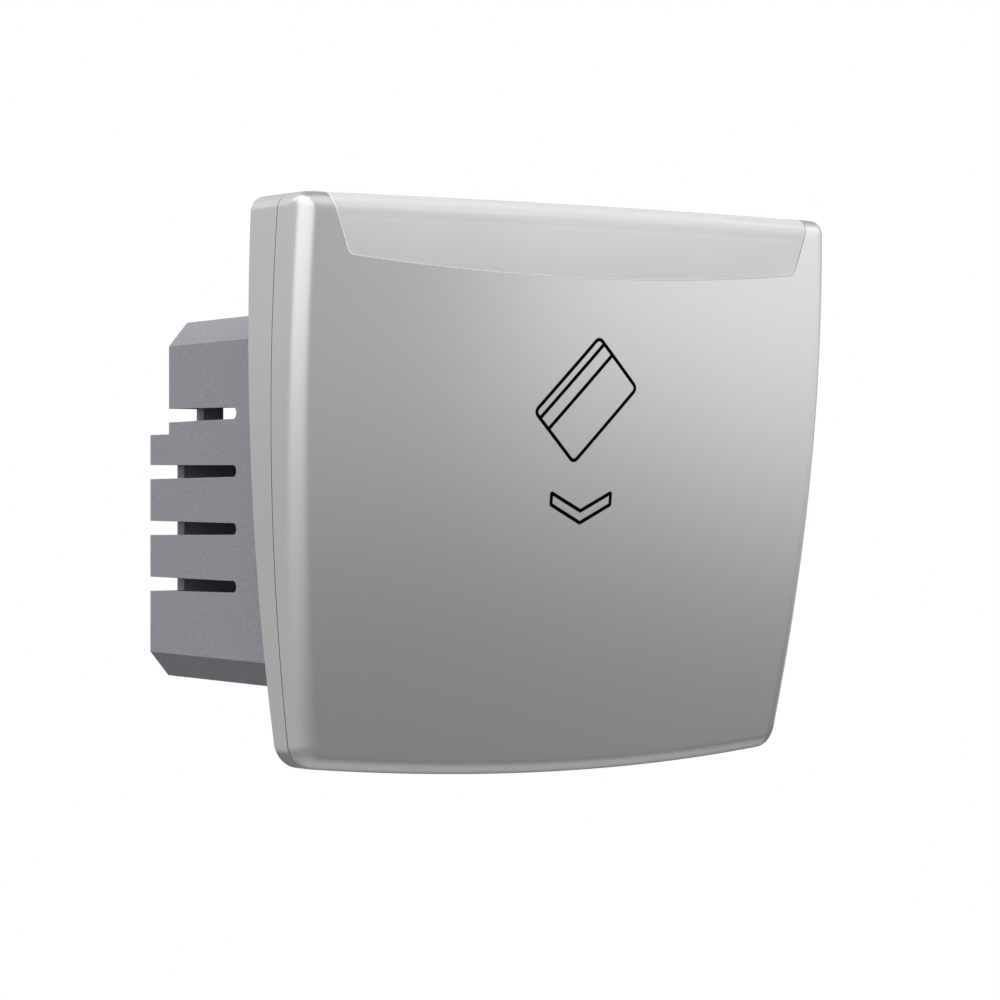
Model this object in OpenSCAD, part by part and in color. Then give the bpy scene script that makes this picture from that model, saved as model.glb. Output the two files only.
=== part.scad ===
// Hotel key card switch: a wall unit that feeds a room's circuits while a card stands in its slot.
// X runs to the right seen from the front, Y runs into the wall and Z runs up.
// The wall is the plane Y = 0, and the origin lies midway between the two box screws.

/* [Cover] */
// Width of the cover at its widest height
cover_w = 92; // [88:0.5:100]
// Height of the cover's top edge above the origin
cover_top = 40.7; // [40:0.1:44]
// Depth of the cover's bottom edge below the origin
cover_drop = 37.9; // [37.5:0.1:42]
// Height at which the cover is widest
widest_z = 22; // [16:0.5:28]
// Radius of the curved sides
side_r = 372; // [330:1:600]
// Radius of the curved bottom edge
bottom_r = 408; // [350:1:800]
// Radius of the faintly arched top edge
top_r = 20000; // [3000:500:40000]
// Corner radius of the outline at the top
corner_top_r = 2.3; // [1.8:0.1:6]
// Corner radius of the outline at the bottom
corner_low_r = 3.3; // [2.4:0.1:7]
// Rounding of the cover's front edge
front_fillet = 3.1; // [2.2:0.1:4]
// Thickness in front of the wall at the origin's height
front_t = 12.6; // [12.4:0.1:15]
// Slope of the front face, thickness gained per millimetre of height
front_slope = 0.098; // [0.08:0.002:0.11]
// Radius of the front face's upright curve
front_curve_r = 714; // [600:2:1500]
// Radius of the front face's sideways curve
front_bow_r = 346; // [320:2:700]
// Wall of the cover
cover_wall = 1.8; // [1.4:0.1:2]
// Depth of the parting line in front of the wall at the origin's height
parting_d = 4.9; // [4.6:0.1:5.6]
// Slope of the parting line, depth gained per millimetre of height
parting_slope = 0.0463; // [0.03:0.001:0.05]

/* [Light window] */
// Width of the light window along its lower edge
window_low_w = 77.5; // [68:0.5:79]
// Width of the light window at the top edge
window_top_w = 81.6; // [79.5:0.2:82.5]
// Lowest height of the light window
window_z = 30.4; // [29:0.1:33]
// Radius of the window's curved lower edge
window_r = 376; // [250:2:600]
// Corner radius of the window
window_corner_r = 1.4; // [0.8:0.1:2.4]
// Width of the flange that holds the window behind the cover
flange_w = 1.4; // [0.8:0.1:1.8]
// Thickness of that flange
flange_t = 1.0; // [0.6:0.1:1.2]
// Distance from the parting line at which that flange begins
flange_set = 0.6; // [0.3:0.1:1.5]

/* [Frame and plate] */
// Wall of the rear frame's rim
rim_wall = 2.0; // [1.6:0.1:2.6]
// Thickness of the rear frame's web
web_t = 1.2; // [1:0.1:1.4]
// Thickness of the steel mounting plate
plate_t = 1.0; // [0.8:0.1:1.2]
// Width of the mounting plate beyond the tray screws on each side
plate_side = 2; // [1.8:0.1:3]
// Height of the mounting plate
plate_h = 68; // [67:0.5:69]
// Distance between the two box screws
box_pitch = 60.3; // [59.7:0.1:60.9]
// Diameter of the box screw holes
box_hole_d = 4.2; // [3.8:0.1:4.6]
// Width of the passage through web and plate
passage_w = 56; // [52:0.5:57]
// Height of the passage through web and plate
passage_h = 36; // [34:0.5:37]

/* [Housing] */
// Width of the housing beyond the card pocket on each side, at the wall
body_side = 9.35; // [9:0.05:10.5]
// Height of the housing at the wall
body_h = 52; // [51:0.1:54]
// Depth of the housing behind the wall
body_d = 42; // [41:0.2:48]
// Depth of the housing's shallower upper part
upper_d = 36.5; // [34:0.1:38]
// Height of the step between the two depths
step_z = 9.4; // [8:0.1:10]
// Wall of the housing
body_wall = 2.0; // [1.6:0.1:2.2]
// Sideways draft, half width lost per millimetre of depth
draft_x = 0.019; // [0.01:0.001:0.02]
// Upright draft, half height lost per millimetre of depth
draft_z = 0.014; // [0.008:0.001:0.016]
// Width of the chamfered long edges
chamfer_x = 3.0; // [2:0.1:3.6]
// Height of the chamfered long edges
chamfer_z = 3.5; // [2.4:0.1:4]
// Distance between neighbouring cooling slots
slot_pitch = 8.06; // [7:0.02:9]
// Height of a cooling slot at the rear
slot_h = 2.05; // [1.2:0.05:3]
// Height of a cooling slot at its front end
slot_tip_h = 1.62; // [1:0.02:2.4]
// Depth at which the cooling slots start
slot_y = 17.4; // [15:0.1:22]
// Reach of a slot around the rear corner
slot_reach = 4.5; // [3:0.1:6]
// Height of the two openings in the upper rear wall
vent_h = 5.2; // [3:0.1:5.4]

/* [Card pocket] */
// Width of the pocket, for a 54 mm card
pocket_w = 56.6; // [55.6:0.1:57]
// Thickness of the pocket below its mouth
pocket_t = 4.5; // [4.4:0.05:4.6]
// Gap left for the card at the foot of the pocket
narrow_t = 1.9; // [1.4:0.1:2.4]
// Height at which the card stops
stop_z = -6; // [-7:0.1:-5]
// Wall of the card tray
tray_wall = 1.2; // [1:0.1:1.3]
// Thickness of the tray's side rails
rail_t = 1.6; // [1.2:0.1:1.8]

/* [Lever and switch] */
// Depth of the lever's pivot behind the wall plane
pivot_y = 1.4; // [1.2:0.05:1.7]
// Height of the lever's pivot
pivot_z = 8.5; // [8.3:0.05:8.8]
// Diameter of the lever's pin
pin_d = 2.0; // [1.6:0.05:2.2]
// Radial play of the lever on its pin
pin_play = 0.05; // [0.03:0.01:0.08]
// Width of the lever's nose
nose_w = 4.8; // [4:0.1:5]
// Reach of the nose in front of the wall plane
nose_reach = 8.0; // [7.4:0.1:8.2]
// Distance from the pivot down to the pad that works the plunger
pad_drop = 3.5; // [3.4:0.05:3.7]
// Diameter of the spring wire
wire_d = 0.4; // [0.3:0.02:0.45]
// Whole turns of the lever's spring
spring_turns = 2; // [1:1:2]
// Length of the microswitch
switch_w = 12.8; // [12:0.2:14]
// Width of the microswitch
switch_h = 5.8; // [5.4:0.1:6]
// Diameter of the plunger
plunger_d = 2.0; // [1.6:0.1:2.4]
// Radial play of the plunger in the case
plunger_play = 0.05; // [0.03:0.01:0.08]

/* [Boards] */
// Depth of the main board's front face behind the wall
board_y = 11; // [10.6:0.1:13]
// Thickness of the main board
board_t = 1.6; // [1:0.1:2]
// Width of the main board
board_w = 57; // [54:0.5:58]
// Height of the main board
board_h = 44; // [42:0.5:45]
// Thickness of the light board
led_board_t = 0.8; // [0.6:0.1:0.9]
// Side of one square lamp
led_side = 2.8; // [2:0.1:3.2]

/* [Terminals] */
// Number of terminals
terminal_n = 4; // [2:1:4]
// Distance between neighbouring terminals
terminal_pitch = 8; // [7.4:0.1:9]
// Diameter of a wire entry
wire_hole_d = 3.6; // [2.8:0.1:4]

/* [Fasteners] */
// Shank diameter of the housing screws
screw_d = 2.9; // [2.5:0.1:3]
// Head diameter of the housing screws
screw_head_d = 4.6; // [4.2:0.1:5]
// Shank diameter of the small screws
small_d = 2.2; // [1.8:0.1:2.4]
// Head diameter of the small screws
small_head_d = 4.0; // [3.4:0.1:4.4]

/* [Hidden] */
$fn = 40;

// General clearances
far = 120;
through = 1;
fit_gap = 0.1;
free_gap = 0.3;
hole_play = 0.1;

// Depth stack from the wall towards the front
web_back = -plate_t;
web_front = web_back - web_t;
led_back = web_front - fit_gap;
tray_back = led_back - led_board_t;
pocket_back = tray_back - tray_wall;
pocket_front = pocket_back - pocket_t;
narrow_front = pocket_back - narrow_t;
board_back = board_y + board_t;

// Light window, its mouth and its notch in the frame
window_gap = 0.12;
lens_t = cover_wall + window_gap + flange_t;
mouth_play = 0.5;
tongue_reach = 1.4;
lens_back = pocket_back + tongue_reach;
notch_gap = 0.1;

// Card tray, whose top stays below the light window
tray_hw = pocket_w / 2 + rail_t;
tray_top = cover_top - tray_hw * tray_hw / (2 * top_r) - lens_t - fit_gap;
tray_foot = 3;
tray_low = stop_z - tray_foot;
ramp_low = 2;
ramp_high = 9;
lip_w = 3.4;
lip_t = 0.8;
lip_low = 12;
lip_high = 32;
guide_front = pocket_front + lip_t;
ear_w = 7.2;
ear_h = 8;
tray_screw_x = tray_hw + ear_w / 2;
plate_w = 2 * (tray_screw_x + plate_side);
access_d = 9;

// Housing width, and the screws that clamp housing, plate and web together
body_w = pocket_w + 2 * body_side;
boss_r = 2.8;
boss_d = 14;
boss_in_x = 4.3;
boss_in_z = 5.5;
screw_x = body_w / 2 - boss_in_x;
screw_z = body_h / 2 - boss_in_z;
screw_head_t = 1.6;
housing_screw_l = 11;

// Small screws and the shape of every cross recess
small_head_t = 1.4;
tray_screw_l = 5;
board_screw_l = 7;
recess_share = 0.55;
recess_w_share = 0.16;

// Lever, its window in the tray and its bearings
nose_play = 0.7;
nose_window = nose_w / 2 + nose_play;
bearing_t = 1.6;
bearing_r = 2.6;
hub_r = 2.2;
hub_gap = 0.2;
hub_x = [hub_gap - nose_window, -hub_gap / 2];
arm_front = 0.5;
arm_t = 1.7;
arm_back = arm_front + arm_t;
arm_w = 3.2;
nose_lift = 2.5;
nose_low = stop_z + nose_lift;
nose_tip_h = 1.6;
nose_top = 2.4;
nose_bevel = 0.8;
pad_r = 1;
pad_w = 1.6;
pad_back = 2.8;
pin_head_t = 0.6;
pin_head_rim = 0.6;
pin_head_r = pin_d / 2 + pin_head_rim;
nose_room = 0.8;
lever_window = [stop_z - nose_room, pivot_z + hub_r + free_gap];

// Lever spring
coil_gap = 0.3;
coil_play = 0.2;
spring_r = pin_d / 2 + coil_gap + wire_d / 2;
leg_side = 0.15;
spring_x = [plunger_d / 2 + leg_side + wire_d / 2, nose_window - coil_play - wire_d / 2];
coil_from = -8;
coil_to = 360 * spring_turns + 66;
leg_gap = 0.02;
spring_sides = 6;
turn_steps = 12;

// Microswitch
plunger_z = pivot_z - pad_drop;
pad_gap = 0.15;
plunger_y = pad_back + pad_gap;
plunger_rise = 1.7;
switch_y = plunger_y + plunger_rise;
plunger_l = 4.6;
plunger_room = 1.6;
switch_pin_pitch = 5.08;
switch_pin_x = [-switch_pin_pitch, 0, switch_pin_pitch];
switch_hole_r = 1;

// Boards
post_in_x = 3.4;
post_in_z = 3;
post_x = board_w / 2 - post_in_x;
post_z = board_h / 2 - post_in_z;
post_r = 2.4;
post_hole_l = 7;
lead_r = 0.4;
lead_tail = 1;
lead_hole_r = 0.6;
lead_embed = 1;
led_x = [-22, -11, 11, 22];
led_rise = 3.4;
led_z = window_z + led_rise;
led_t = 0.9;
led_board_in = 1;
led_board_hw = tray_hw - led_board_in;
led_board_gap = 1.4;
led_board_top = tray_top - led_board_gap;
led_board_drop = 8.6;
led_board_low = led_z - led_board_drop;
tail_x = [18, 25];
tail_drop = 4.6;
tail_low = passage_h / 2 - tail_drop;
link_x = [20.2, 22.8];
link_rise = 1.7;
link_z = tail_low + link_rise;
stake_in = 2.9;
stake_x = led_board_hw - stake_in;
stake_z = led_z;
stake_r = 0.9;

// Terminals
terminal_z = -17;
block_side = 0.4;
block_w = terminal_n * terminal_pitch + 2 * block_side;
block_l = 13;
block_y = [body_d - body_wall - block_l, body_d - body_wall - fit_gap];
block_low = fit_gap - (body_h / 2 - draft_z * body_d - body_wall);
block_rise = 5.6;
block_top = terminal_z + block_rise;
cage_side = 1;
cage_w = terminal_pitch - 2 * cage_side;
cage_h = 6.4;
cage_d = 9;
cage_cover = 1.6;
cage_y = block_y[1] - cage_cover - cage_d;
cage_floor = 1.5;
terminal_x = [for (i = [0:terminal_n - 1]) (i - (terminal_n - 1) / 2) * terminal_pitch];
terminal_screw_d = 2.8;
terminal_head_d = 4.2;
terminal_head_t = 1.8;
terminal_screw_y = cage_y + cage_d / 2;
terminal_slot_w = 0.7;
terminal_slot_t = 0.6;
entry_play = 0.4;
entry_r = wire_hole_d / 2 + entry_play;
driver_play = 0.3;
driver_hole_r = terminal_head_d / 2 + driver_play;
driver_reach = 4;

// Components on the main board: centre in X and Z, then size in X, Z and Y
relay_at = [15.4, 0];
relay_size = [19, 15.4, 15.2];
relay_pin_l = 2;
film_at = [-13, -3.6];
film_size = [18, 8.4, 14.5];
can_at = [-15, 8.2];
can_r = 5;
can_l = 16;
can_rim = 0.5;
bridge_at = [-2.2, 15];
bridge_size = [8.3, 6.4, 3.4];
disc_at = [9, 15.6];
disc_r = 5;
disc_t = 4;
disc_lift = 1.6;
fuse_at = [-24.8, -5.5];
fuse_r = 1.8;
fuse_l = 9.5;
fuse_lift = 0.6;
transistor_at = [21.4, -10];
transistor_r = 2.3;
transistor_h = 4.6;
transistor_lift = 1.5;
chip_at = [-17, -13];
chip_size = [9.4, 6.3, 3];
chip_lift = 0.4;
chip_legs = 4;
chip_leg_pitch = 2.54;
chip_leg_w = 0.5;
chip_row = 7.6;
resistor_x = [10, 13, 16, 19];
resistor_z = -12;
resistor_size = [1.25, 2, 0.5];

relay_lead_at = [[-8, -6], [-8, 6], [8, -6], [8, 6], [8, 0]];
film_lead_at = [[-7.5, 0], [7.5, 0]];
can_lead_at = [[-2.5, 0], [2.5, 0]];
bridge_lead_at = [[-2.54, -3.8], [2.54, -3.8], [-2.54, 3.8], [2.54, 3.8]];
disc_lead_at = [[-3.75, 0], [3.75, 0]];
fuse_lead_at = [[0, -7.5], [0, 7.5]];
transistor_lead_at = [[-1.27, 0], [0, 0], [1.27, 0]];
chip_lead_at = [for (i = [0:chip_legs - 1], s = [-1, 1])
    [(i - (chip_legs - 1) / 2) * chip_leg_pitch, s * chip_row / 2]];

function shifted(at, leads) = [for (p = leads) at + p];
all_leads = concat(shifted(relay_at, relay_lead_at), shifted(film_at, film_lead_at),
    shifted(can_at, can_lead_at), shifted(bridge_at, bridge_lead_at), shifted(disc_at, disc_lead_at),
    shifted(fuse_at, fuse_lead_at), shifted(transistor_at, transistor_lead_at),
    shifted(chip_at, chip_lead_at), [for (x = terminal_x) [x, terminal_z]],
    [for (x = switch_pin_x) [x, plunger_z]], [for (x = link_x) [x, link_z]]);

// Outline of cover and frame, seen from the front
bottom_steps = 7;
corner_steps = 4;
side_steps = 8;
top_steps = 5;
least_corner = 0.2;

function half_w(z) = cover_w / 2 - pow(z - widest_z, 2) / (2 * side_r);
function bottom_at(x) = -cover_drop + x * x / (2 * bottom_r);
function top_at(x) = cover_top - x * x / (2 * top_r);
function parting(z) = parting_d + parting_slope * z;
function front_at(x, z) = front_t + front_slope * z - z * z / (2 * front_curve_r)
    - x * x / (2 * front_bow_r);

// Centres of the corner arcs, found by two passes along the curves they touch
low_x1 = half_w(-cover_drop + corner_low_r) - corner_low_r;
low_z1 = bottom_at(low_x1) + corner_low_r;
low_x = half_w(low_z1) - corner_low_r;
low_z = bottom_at(low_x) + corner_low_r;
high_z = top_at(cover_w / 2) - corner_top_r;
high_x = half_w(high_z) - corner_top_r;
low_from = atan(low_x / bottom_r) - 90;
low_to = -atan((widest_z - low_z) / side_r);
high_from = atan((high_z - widest_z) / side_r);

// A corner's radius when the outline is drawn in, and how far its centre then moves in with it
function corner_left(r, inset) = max(r - inset, least_corner);
function corner_in(r, inset) = inset + corner_left(r, inset) - r;

// Right half of the outline from the bottom centre to the top centre, drawn in by inset
function right_half(inset) = let (
    low_in = corner_in(corner_low_r, inset),
    high_in = corner_in(corner_top_r, inset),
    low = [low_x - low_in, low_z + low_in],
    high = [high_x - high_in, high_z - high_in]) concat(
    [for (i = [0:bottom_steps]) let (x = low[0] * i / bottom_steps) [x, bottom_at(x) + inset]],
    [for (i = [1:corner_steps]) let (t = low_from + (low_to - low_from) * i / (corner_steps + 1))
        low + corner_left(corner_low_r, inset) * [cos(t), sin(t)]],
    [for (i = [0:side_steps]) let (z = low[1] + (high[1] - low[1]) * i / side_steps) [half_w(z) - inset, z]],
    [for (i = [1:corner_steps]) let (t = high_from + (90 - high_from) * i / (corner_steps + 1))
        high + corner_left(corner_top_r, inset) * [cos(t), sin(t)]],
    [for (i = [0:top_steps]) let (x = high[0] * (1 - i / top_steps)) [x, top_at(x) - inset]]);

function outline(inset) = let (right = right_half(inset), n = len(right))
    concat(right, [for (i = [n - 2:-1:1]) [-right[i][0], right[i][1]]]);

// Skin of the cover: rings from the parting line over the rounded edge to the middle of the front.
// depth is how far the skin lies below the outer surface.
fillet_steps = 4;
face_steps = 4;
face_centre = [0, 0];
least_fillet = 0.3;
least_side = 0.3;

function skin_t(x, z, depth) = max(front_at(x, z) - depth, parting(z) + least_side + least_fillet);
function edge_ring(depth) = [for (p = outline(depth)) [p[0], -parting(p[1]), p[1]]];
function fillet_ring(turn, depth) = let (r = max(front_fillet - depth, least_fillet))
    [for (p = outline(depth + r * (1 - cos(turn))))
        let (t = skin_t(p[0], p[1], depth), d = min(r, t - parting(p[1]) - least_side))
        [p[0], -t + d * (1 - sin(turn)), p[1]]];
function face_ring(share, depth) = let (r = max(front_fillet - depth, least_fillet))
    [for (o = outline(depth + r)) let (p = face_centre + share * (o - face_centre))
        [p[0], -skin_t(p[0], p[1], depth), p[1]]];
function skin_rings(depth) = concat([edge_ring(depth)],
    [for (i = [0:fillet_steps]) fillet_ring(90 * i / fillet_steps, depth)],
    [for (i = [1:face_steps - 1]) face_ring(1 - i / face_steps, depth)]);
function face_point(depth) = let (c = face_centre) [c[0], -skin_t(c[0], c[1], depth), c[1]];
function reversed(list) = [for (i = [len(list) - 1:-1:0]) list[i]];

// Closed shell between two depths under the outer surface
module skin_shell(outer, inner) {
    loops = concat(reversed(skin_rings(inner)), skin_rings(outer));
    n = len(loops[0]);
    m = len(loops);
    points = concat([face_point(inner)], [for (loop = loops) for (p = loop) p], [face_point(outer)]);
    last = len(points) - 1;
    function at(k, i) = 1 + k * n + i % n;
    cap_in = [for (i = [0:n - 1]) [0, at(0, i), at(0, i + 1)]];
    near = [for (k = [0:m - 2], i = [0:n - 1]) [at(k, i), at(k + 1, i), at(k, i + 1)]];
    away = [for (k = [0:m - 2], i = [0:n - 1]) [at(k, i + 1), at(k + 1, i), at(k + 1, i + 1)]];
    cap_out = [for (i = [0:n - 1]) [last, at(m - 1, i + 1), at(m - 1, i)]];
    polyhedron(points, concat(cap_in, near, away, cap_out), convexity = 6);
}

// Outline of the light window seen from the front, grown by grow and open above the top edge
window_steps = 8;
function window_edge(x) = window_z + x * x / (2 * window_r);
module window_outline(grow) {
    r = window_corner_r + grow;
    cx = window_low_w / 2 - window_corner_r;
    cz = window_edge(cx) + window_corner_r;
    lean = atan((window_top_w - window_low_w) / 2 / (cover_top - cz));
    side = r / cos(lean);
    top = cover_top + through + grow;
    from = atan(cx / window_r) - 90;
    right = concat(
        [for (i = [0:window_steps]) let (x = cx * i / window_steps) [x, window_edge(x) - grow]],
        [for (i = [1:corner_steps]) let (t = from - (from + lean) * i / corner_steps)
            [cx + r * cos(t), cz + r * sin(t)]],
        [[cx + side + (top - cz) * tan(lean), top]]);
    polygon(concat(right, [for (i = [len(right) - 1:-1:1]) [-right[i][0], right[i][1]]]));
}

// Extrudes a drawing of X and Z from y_front back to y_back
module slab(y_front, y_back) {
    translate([0, y_back, 0]) rotate([90, 0, 0]) linear_extrude(y_back - y_front) children();
}

// Extrudes a drawing of Y and Z along X, from x_from to x_to
module along_x(x_from, x_to) {
    translate([x_from, 0, 0]) rotate([90, 0, 90]) linear_extrude(x_to - x_from) children();
}

// Round rod along Y at a place in X and Z
module rod(at, r, y_front, y_back) {
    translate([at[0], y_back, at[1]]) rotate([90, 0, 0]) cylinder(h = y_back - y_front, r = r);
}

// Block given by its limits in X, Y and Z
module block(x, y, z) {
    translate([x[0], y[0], z[0]]) cube([x[1] - x[0], y[1] - y[0], z[1] - z[0]]);
}

// Screw along Y: head in front of y_seat, shank behind it, cross recess in the head
module screw(at, d, head_d, head_t, y_seat, length) {
    recess = head_d * recess_share;
    recess_w = head_d * recess_w_share;
    difference() {
        union() {
            rod(at, head_d / 2, y_seat - head_t, y_seat);
            rod(at, d / 2, y_seat - head_t / 2, y_seat + length);
        }
        for (turn = [0, 90]) translate([at[0], y_seat - head_t, at[1]]) rotate([0, turn, 0])
            cube([recess, head_t, recess_w], center = true);
    }
}

// Tube of round wire along a list of points that keeps to planes across X
module wire(path, d) {
    n = spring_sides;
    m = len(path);
    function heading(i) = let (v = path[min(i + 1, m - 1)] - path[max(i - 1, 0)]) v / norm(v);
    function ring(i) = let (t = heading(i), c = cross(t, [1, 0, 0]), u = c / norm(c), v = cross(t, u))
        [for (k = [0:n - 1]) path[i] + d / 2 * (cos(360 * k / n) * u + sin(360 * k / n) * v)];
    function at(i, k) = i * n + k % n;
    points = [for (i = [0:m - 1]) for (p = ring(i)) p];
    start = [[for (k = [n - 1:-1:0]) k]];
    near = [for (i = [0:m - 2], k = [0:n - 1]) [at(i, k), at(i, k + 1), at(i + 1, k)]];
    away = [for (i = [0:m - 2], k = [0:n - 1]) [at(i, k + 1), at(i + 1, k + 1), at(i + 1, k)]];
    end = [[for (k = [0:n - 1]) at(m - 1, k)]];
    polyhedron(points, concat(start, near, away, end), convexity = 8);
}

// Clips that hold the cover inside the frame's rim
clip_z = [-14, 14];
clip_h = 8;
clip_t = 1.4;
clip_root = 1.6;
clip_gap = 0.2;
module cover_clip(z) {
    x = half_w(z - clip_h / 2) - rim_wall - clip_gap;
    y = -parting(z + clip_h / 2);
    span = [z - clip_h / 2, z + clip_h / 2];
    block([x - clip_t, x], [y - clip_root, web_front - free_gap], span);
    block([x - clip_t, half_w(z) - cover_wall / 2], [y - clip_root, y - clip_gap], span);
}

module front_cover() {
    color("silver") difference() {
        union() {
            skin_shell(0, cover_wall);
            for (z = clip_z) {
                cover_clip(z);
                mirror([1, 0, 0]) cover_clip(z);
            }
        }
        slab(-far, 0) window_outline(window_gap);
    }
}

// Mouth through which the card enters the pocket
module mouth(play) {
    hw = pocket_w / 2 + play;
    block([-hw, hw], [pocket_front - play, pocket_back + play], [tray_top - through, cover_top + through]);
}

module light_lens() {
    color("gainsboro") difference() {
        union() {
            intersection() {
                skin_shell(0, lens_t);
                slab(-far, 0) window_outline(0);
            }
            intersection() {
                skin_shell(cover_wall + window_gap, lens_t);
                slab(-far, 0) window_outline(flange_w);
                block([-far, far], [-far, -parting(cover_top) - flange_set],
                    [-far, cover_top - cover_wall - window_gap]);
            }
            lens_tongue();
        }
        mouth(mouth_play);
    }
}

// Top wall of the light window, which runs back past the parting line behind the mouth
module lens_tongue() {
    hw = window_low_w / 2;
    intersection() {
        slab(-parting(cover_top) - through, lens_back) polygon(outline(0));
        block([-hw, hw], [-far, far], [cover_top - cover_wall, far]);
    }
}

// Space in front of the parting line
module before_parting() {
    along_x(-far, far) polygon([[-parting(-far), -far], [-parting(far), far], [-far, far], [-far, -far]]);
}

// Children at the four places plus and minus x, plus and minus z
module at_corners(x, z) {
    for (sx = [-1, 1], sz = [-1, 1]) translate([sx * x, 0, sz * z]) children();
}

// Holes for the box screws and for the screws that clamp the housing
module fixing_holes(y_front, y_back) {
    for (s = [-1, 1]) rod([0, s * box_pitch / 2], box_hole_d / 2, y_front, y_back);
    at_corners(screw_x, screw_z) rod([0, 0], screw_d / 2 + hole_play, y_front, y_back);
}

// Holes for the tray screws with the given play
module tray_holes(play) {
    for (s = [-1, 1]) rod([s * tray_screw_x, 0], small_d / 2 + play, -far, far);
}

module passage(y_front, y_back) {
    slab(y_front, y_back) square([passage_w, passage_h], center = true);
}

module rear_frame() {
    hw = window_low_w / 2 + notch_gap;
    color("silver") difference() {
        union() {
            difference() {
                slab(-far, 0) polygon(outline(0));
                slab(-far - through, through) polygon(outline(rim_wall));
                before_parting();
            }
            slab(web_front, web_back) polygon(outline(rim_wall / 2));
        }
        block([-hw, hw], [-far, lens_back + notch_gap], [cover_top - rim_wall - through, far]);
        passage(web_front - through, through);
        fixing_holes(web_front - through, through);
        tray_holes(hole_play / 2);
    }
}

module mounting_plate() {
    cut = 6;
    w = plate_w / 2;
    h = plate_h / 2;
    color("lightsteelblue") difference() {
        slab(-plate_t, 0) polygon([[w, h - cut], [w - cut, h], [cut - w, h], [-w, h - cut],
            [-w, cut - h], [cut - w, -h], [w - cut, -h], [w, cut - h]]);
        passage(-plate_t - through, through);
        fixing_holes(-plate_t - through, through);
        tray_holes(free_gap);
    }
}

// Eight sided body with draft, drawn in by inset, from y_front to y_back
chamfer_share = 0.3;
module drafted(inset, y_front, y_back) {
    function ring(y) = let (w = body_w / 2 - draft_x * y - inset, h = body_h / 2 - draft_z * y - inset,
        cx = chamfer_x - inset * chamfer_share, cz = chamfer_z - inset * chamfer_share)
        [for (p = [[w, h - cz], [w - cx, h], [cx - w, h], [-w, h - cz],
            [-w, cz - h], [cx - w, -h], [w - cx, -h], [w, cz - h]]) [p[0], y, p[1]]];
    n = 8;
    polyhedron(concat(ring(y_front), ring(y_back)), concat(
        [[for (i = [n - 1:-1:0]) i], [for (i = [0:n - 1]) n + i]],
        [for (i = [0:n - 1]) [i, (i + 1) % n, n + (i + 1) % n, n + i]]));
}

module body_step(grow) {
    block([-far, far], [upper_d - grow, far], [step_z - grow, far]);
}

// Cooling slot in one side wall, open at the rear and round at its front end
slot_n = 4;
module cooling_slot(z) {
    r = slot_tip_h / 2;
    tip = slot_y + r;
    edge = body_w / 2 - draft_x * body_d;
    translate([0, 0, z]) {
        along_x(edge - slot_reach, far) polygon([[tip, -r], [body_d + through, -slot_h / 2],
            [body_d + through, slot_h / 2], [tip, r]]);
        translate([edge - slot_reach, tip, 0]) rotate([0, 90, 0]) cylinder(h = far, r = r);
    }
}

// Openings in the upper rear wall
vent_w = 17;
vent_side = 3.4;
vent_rise = 1.5;
module vent() {
    x = body_w / 2 - draft_x * upper_d - slot_reach - vent_side;
    z = step_z + vent_rise;
    block([x - vent_w, x], [upper_d - body_wall - through, body_d], [z, z + vent_h]);
}

module side_openings() {
    for (i = [0:slot_n - 1]) cooling_slot((i - (slot_n - 1) / 2) * slot_pitch);
    vent();
}

module housing() {
    color("lightslategray") difference() {
        union() {
            difference() {
                drafted(0, 0, body_d);
                body_step(0);
                difference() {
                    drafted(body_wall, -through, body_d - body_wall);
                    body_step(body_wall);
                }
            }
            at_corners(screw_x, screw_z) rod([0, 0], boss_r, 0, boss_d);
            for (sx = [-1, 1]) {
                rod([sx * post_x, post_z], post_r, board_back, upper_d - body_wall / 2);
                rod([sx * post_x, -post_z], post_r, board_back, body_d - body_wall / 2);
            }
        }
        side_openings();
        mirror([1, 0, 0]) side_openings();
        at_corners(screw_x, screw_z) rod([0, 0], screw_d / 2 + hole_play / 2, -through, boss_d - through);
        at_corners(post_x, post_z)
            rod([0, 0], small_d / 2 + hole_play / 2, board_back - through, board_back + post_hole_l);
        for (x = terminal_x) {
            rod([x, terminal_z], entry_r, body_d - body_wall - through, body_d + through);
            translate([x, terminal_screw_y, -body_h])
                cylinder(h = body_h / 2 + driver_reach, r = driver_hole_r);
        }
    }
}

module housing_screws() {
    color("dimgray") at_corners(screw_x, screw_z)
        screw([0, 0], screw_d, screw_head_d, screw_head_t, web_front, housing_screw_l);
}

// Bearing cheek for the lever's pin, on the rear of the tray
module bearing() {
    along_x(nose_window, nose_window + bearing_t) difference() {
        union() {
            translate([tray_back - tray_wall / 2, pivot_z - bearing_r])
                square([pivot_y - tray_back + tray_wall / 2, 2 * bearing_r]);
            translate([pivot_y, pivot_z]) circle(r = bearing_r);
        }
        translate([pivot_y, pivot_z]) circle(r = pin_d / 2 + pin_play);
    }
}

module tray_side() {
    block([pocket_w / 2, tray_hw], [guide_front, tray_back], [tray_low, tray_top]);
    block([pocket_w / 2, tray_hw], [pocket_front, tray_back], [ramp_low, tray_top]);
    block([pocket_w / 2 - lip_w, tray_hw], [pocket_front - lip_t, pocket_front], [lip_low, lip_high]);
    block([tray_hw - rail_t / 2, tray_hw + ear_w], [pocket_back, web_front], [-ear_h / 2, ear_h / 2]);
    rod([stake_x, stake_z], stake_r, tray_back - tray_wall / 2, led_back);
    bearing();
}

// Square block at a lamp's place, half as wide as half_side says, over the depth y
module lamp(x, half_side, y) {
    block([x - half_side, x + half_side], y, [led_z - half_side, led_z + half_side]);
}

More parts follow.
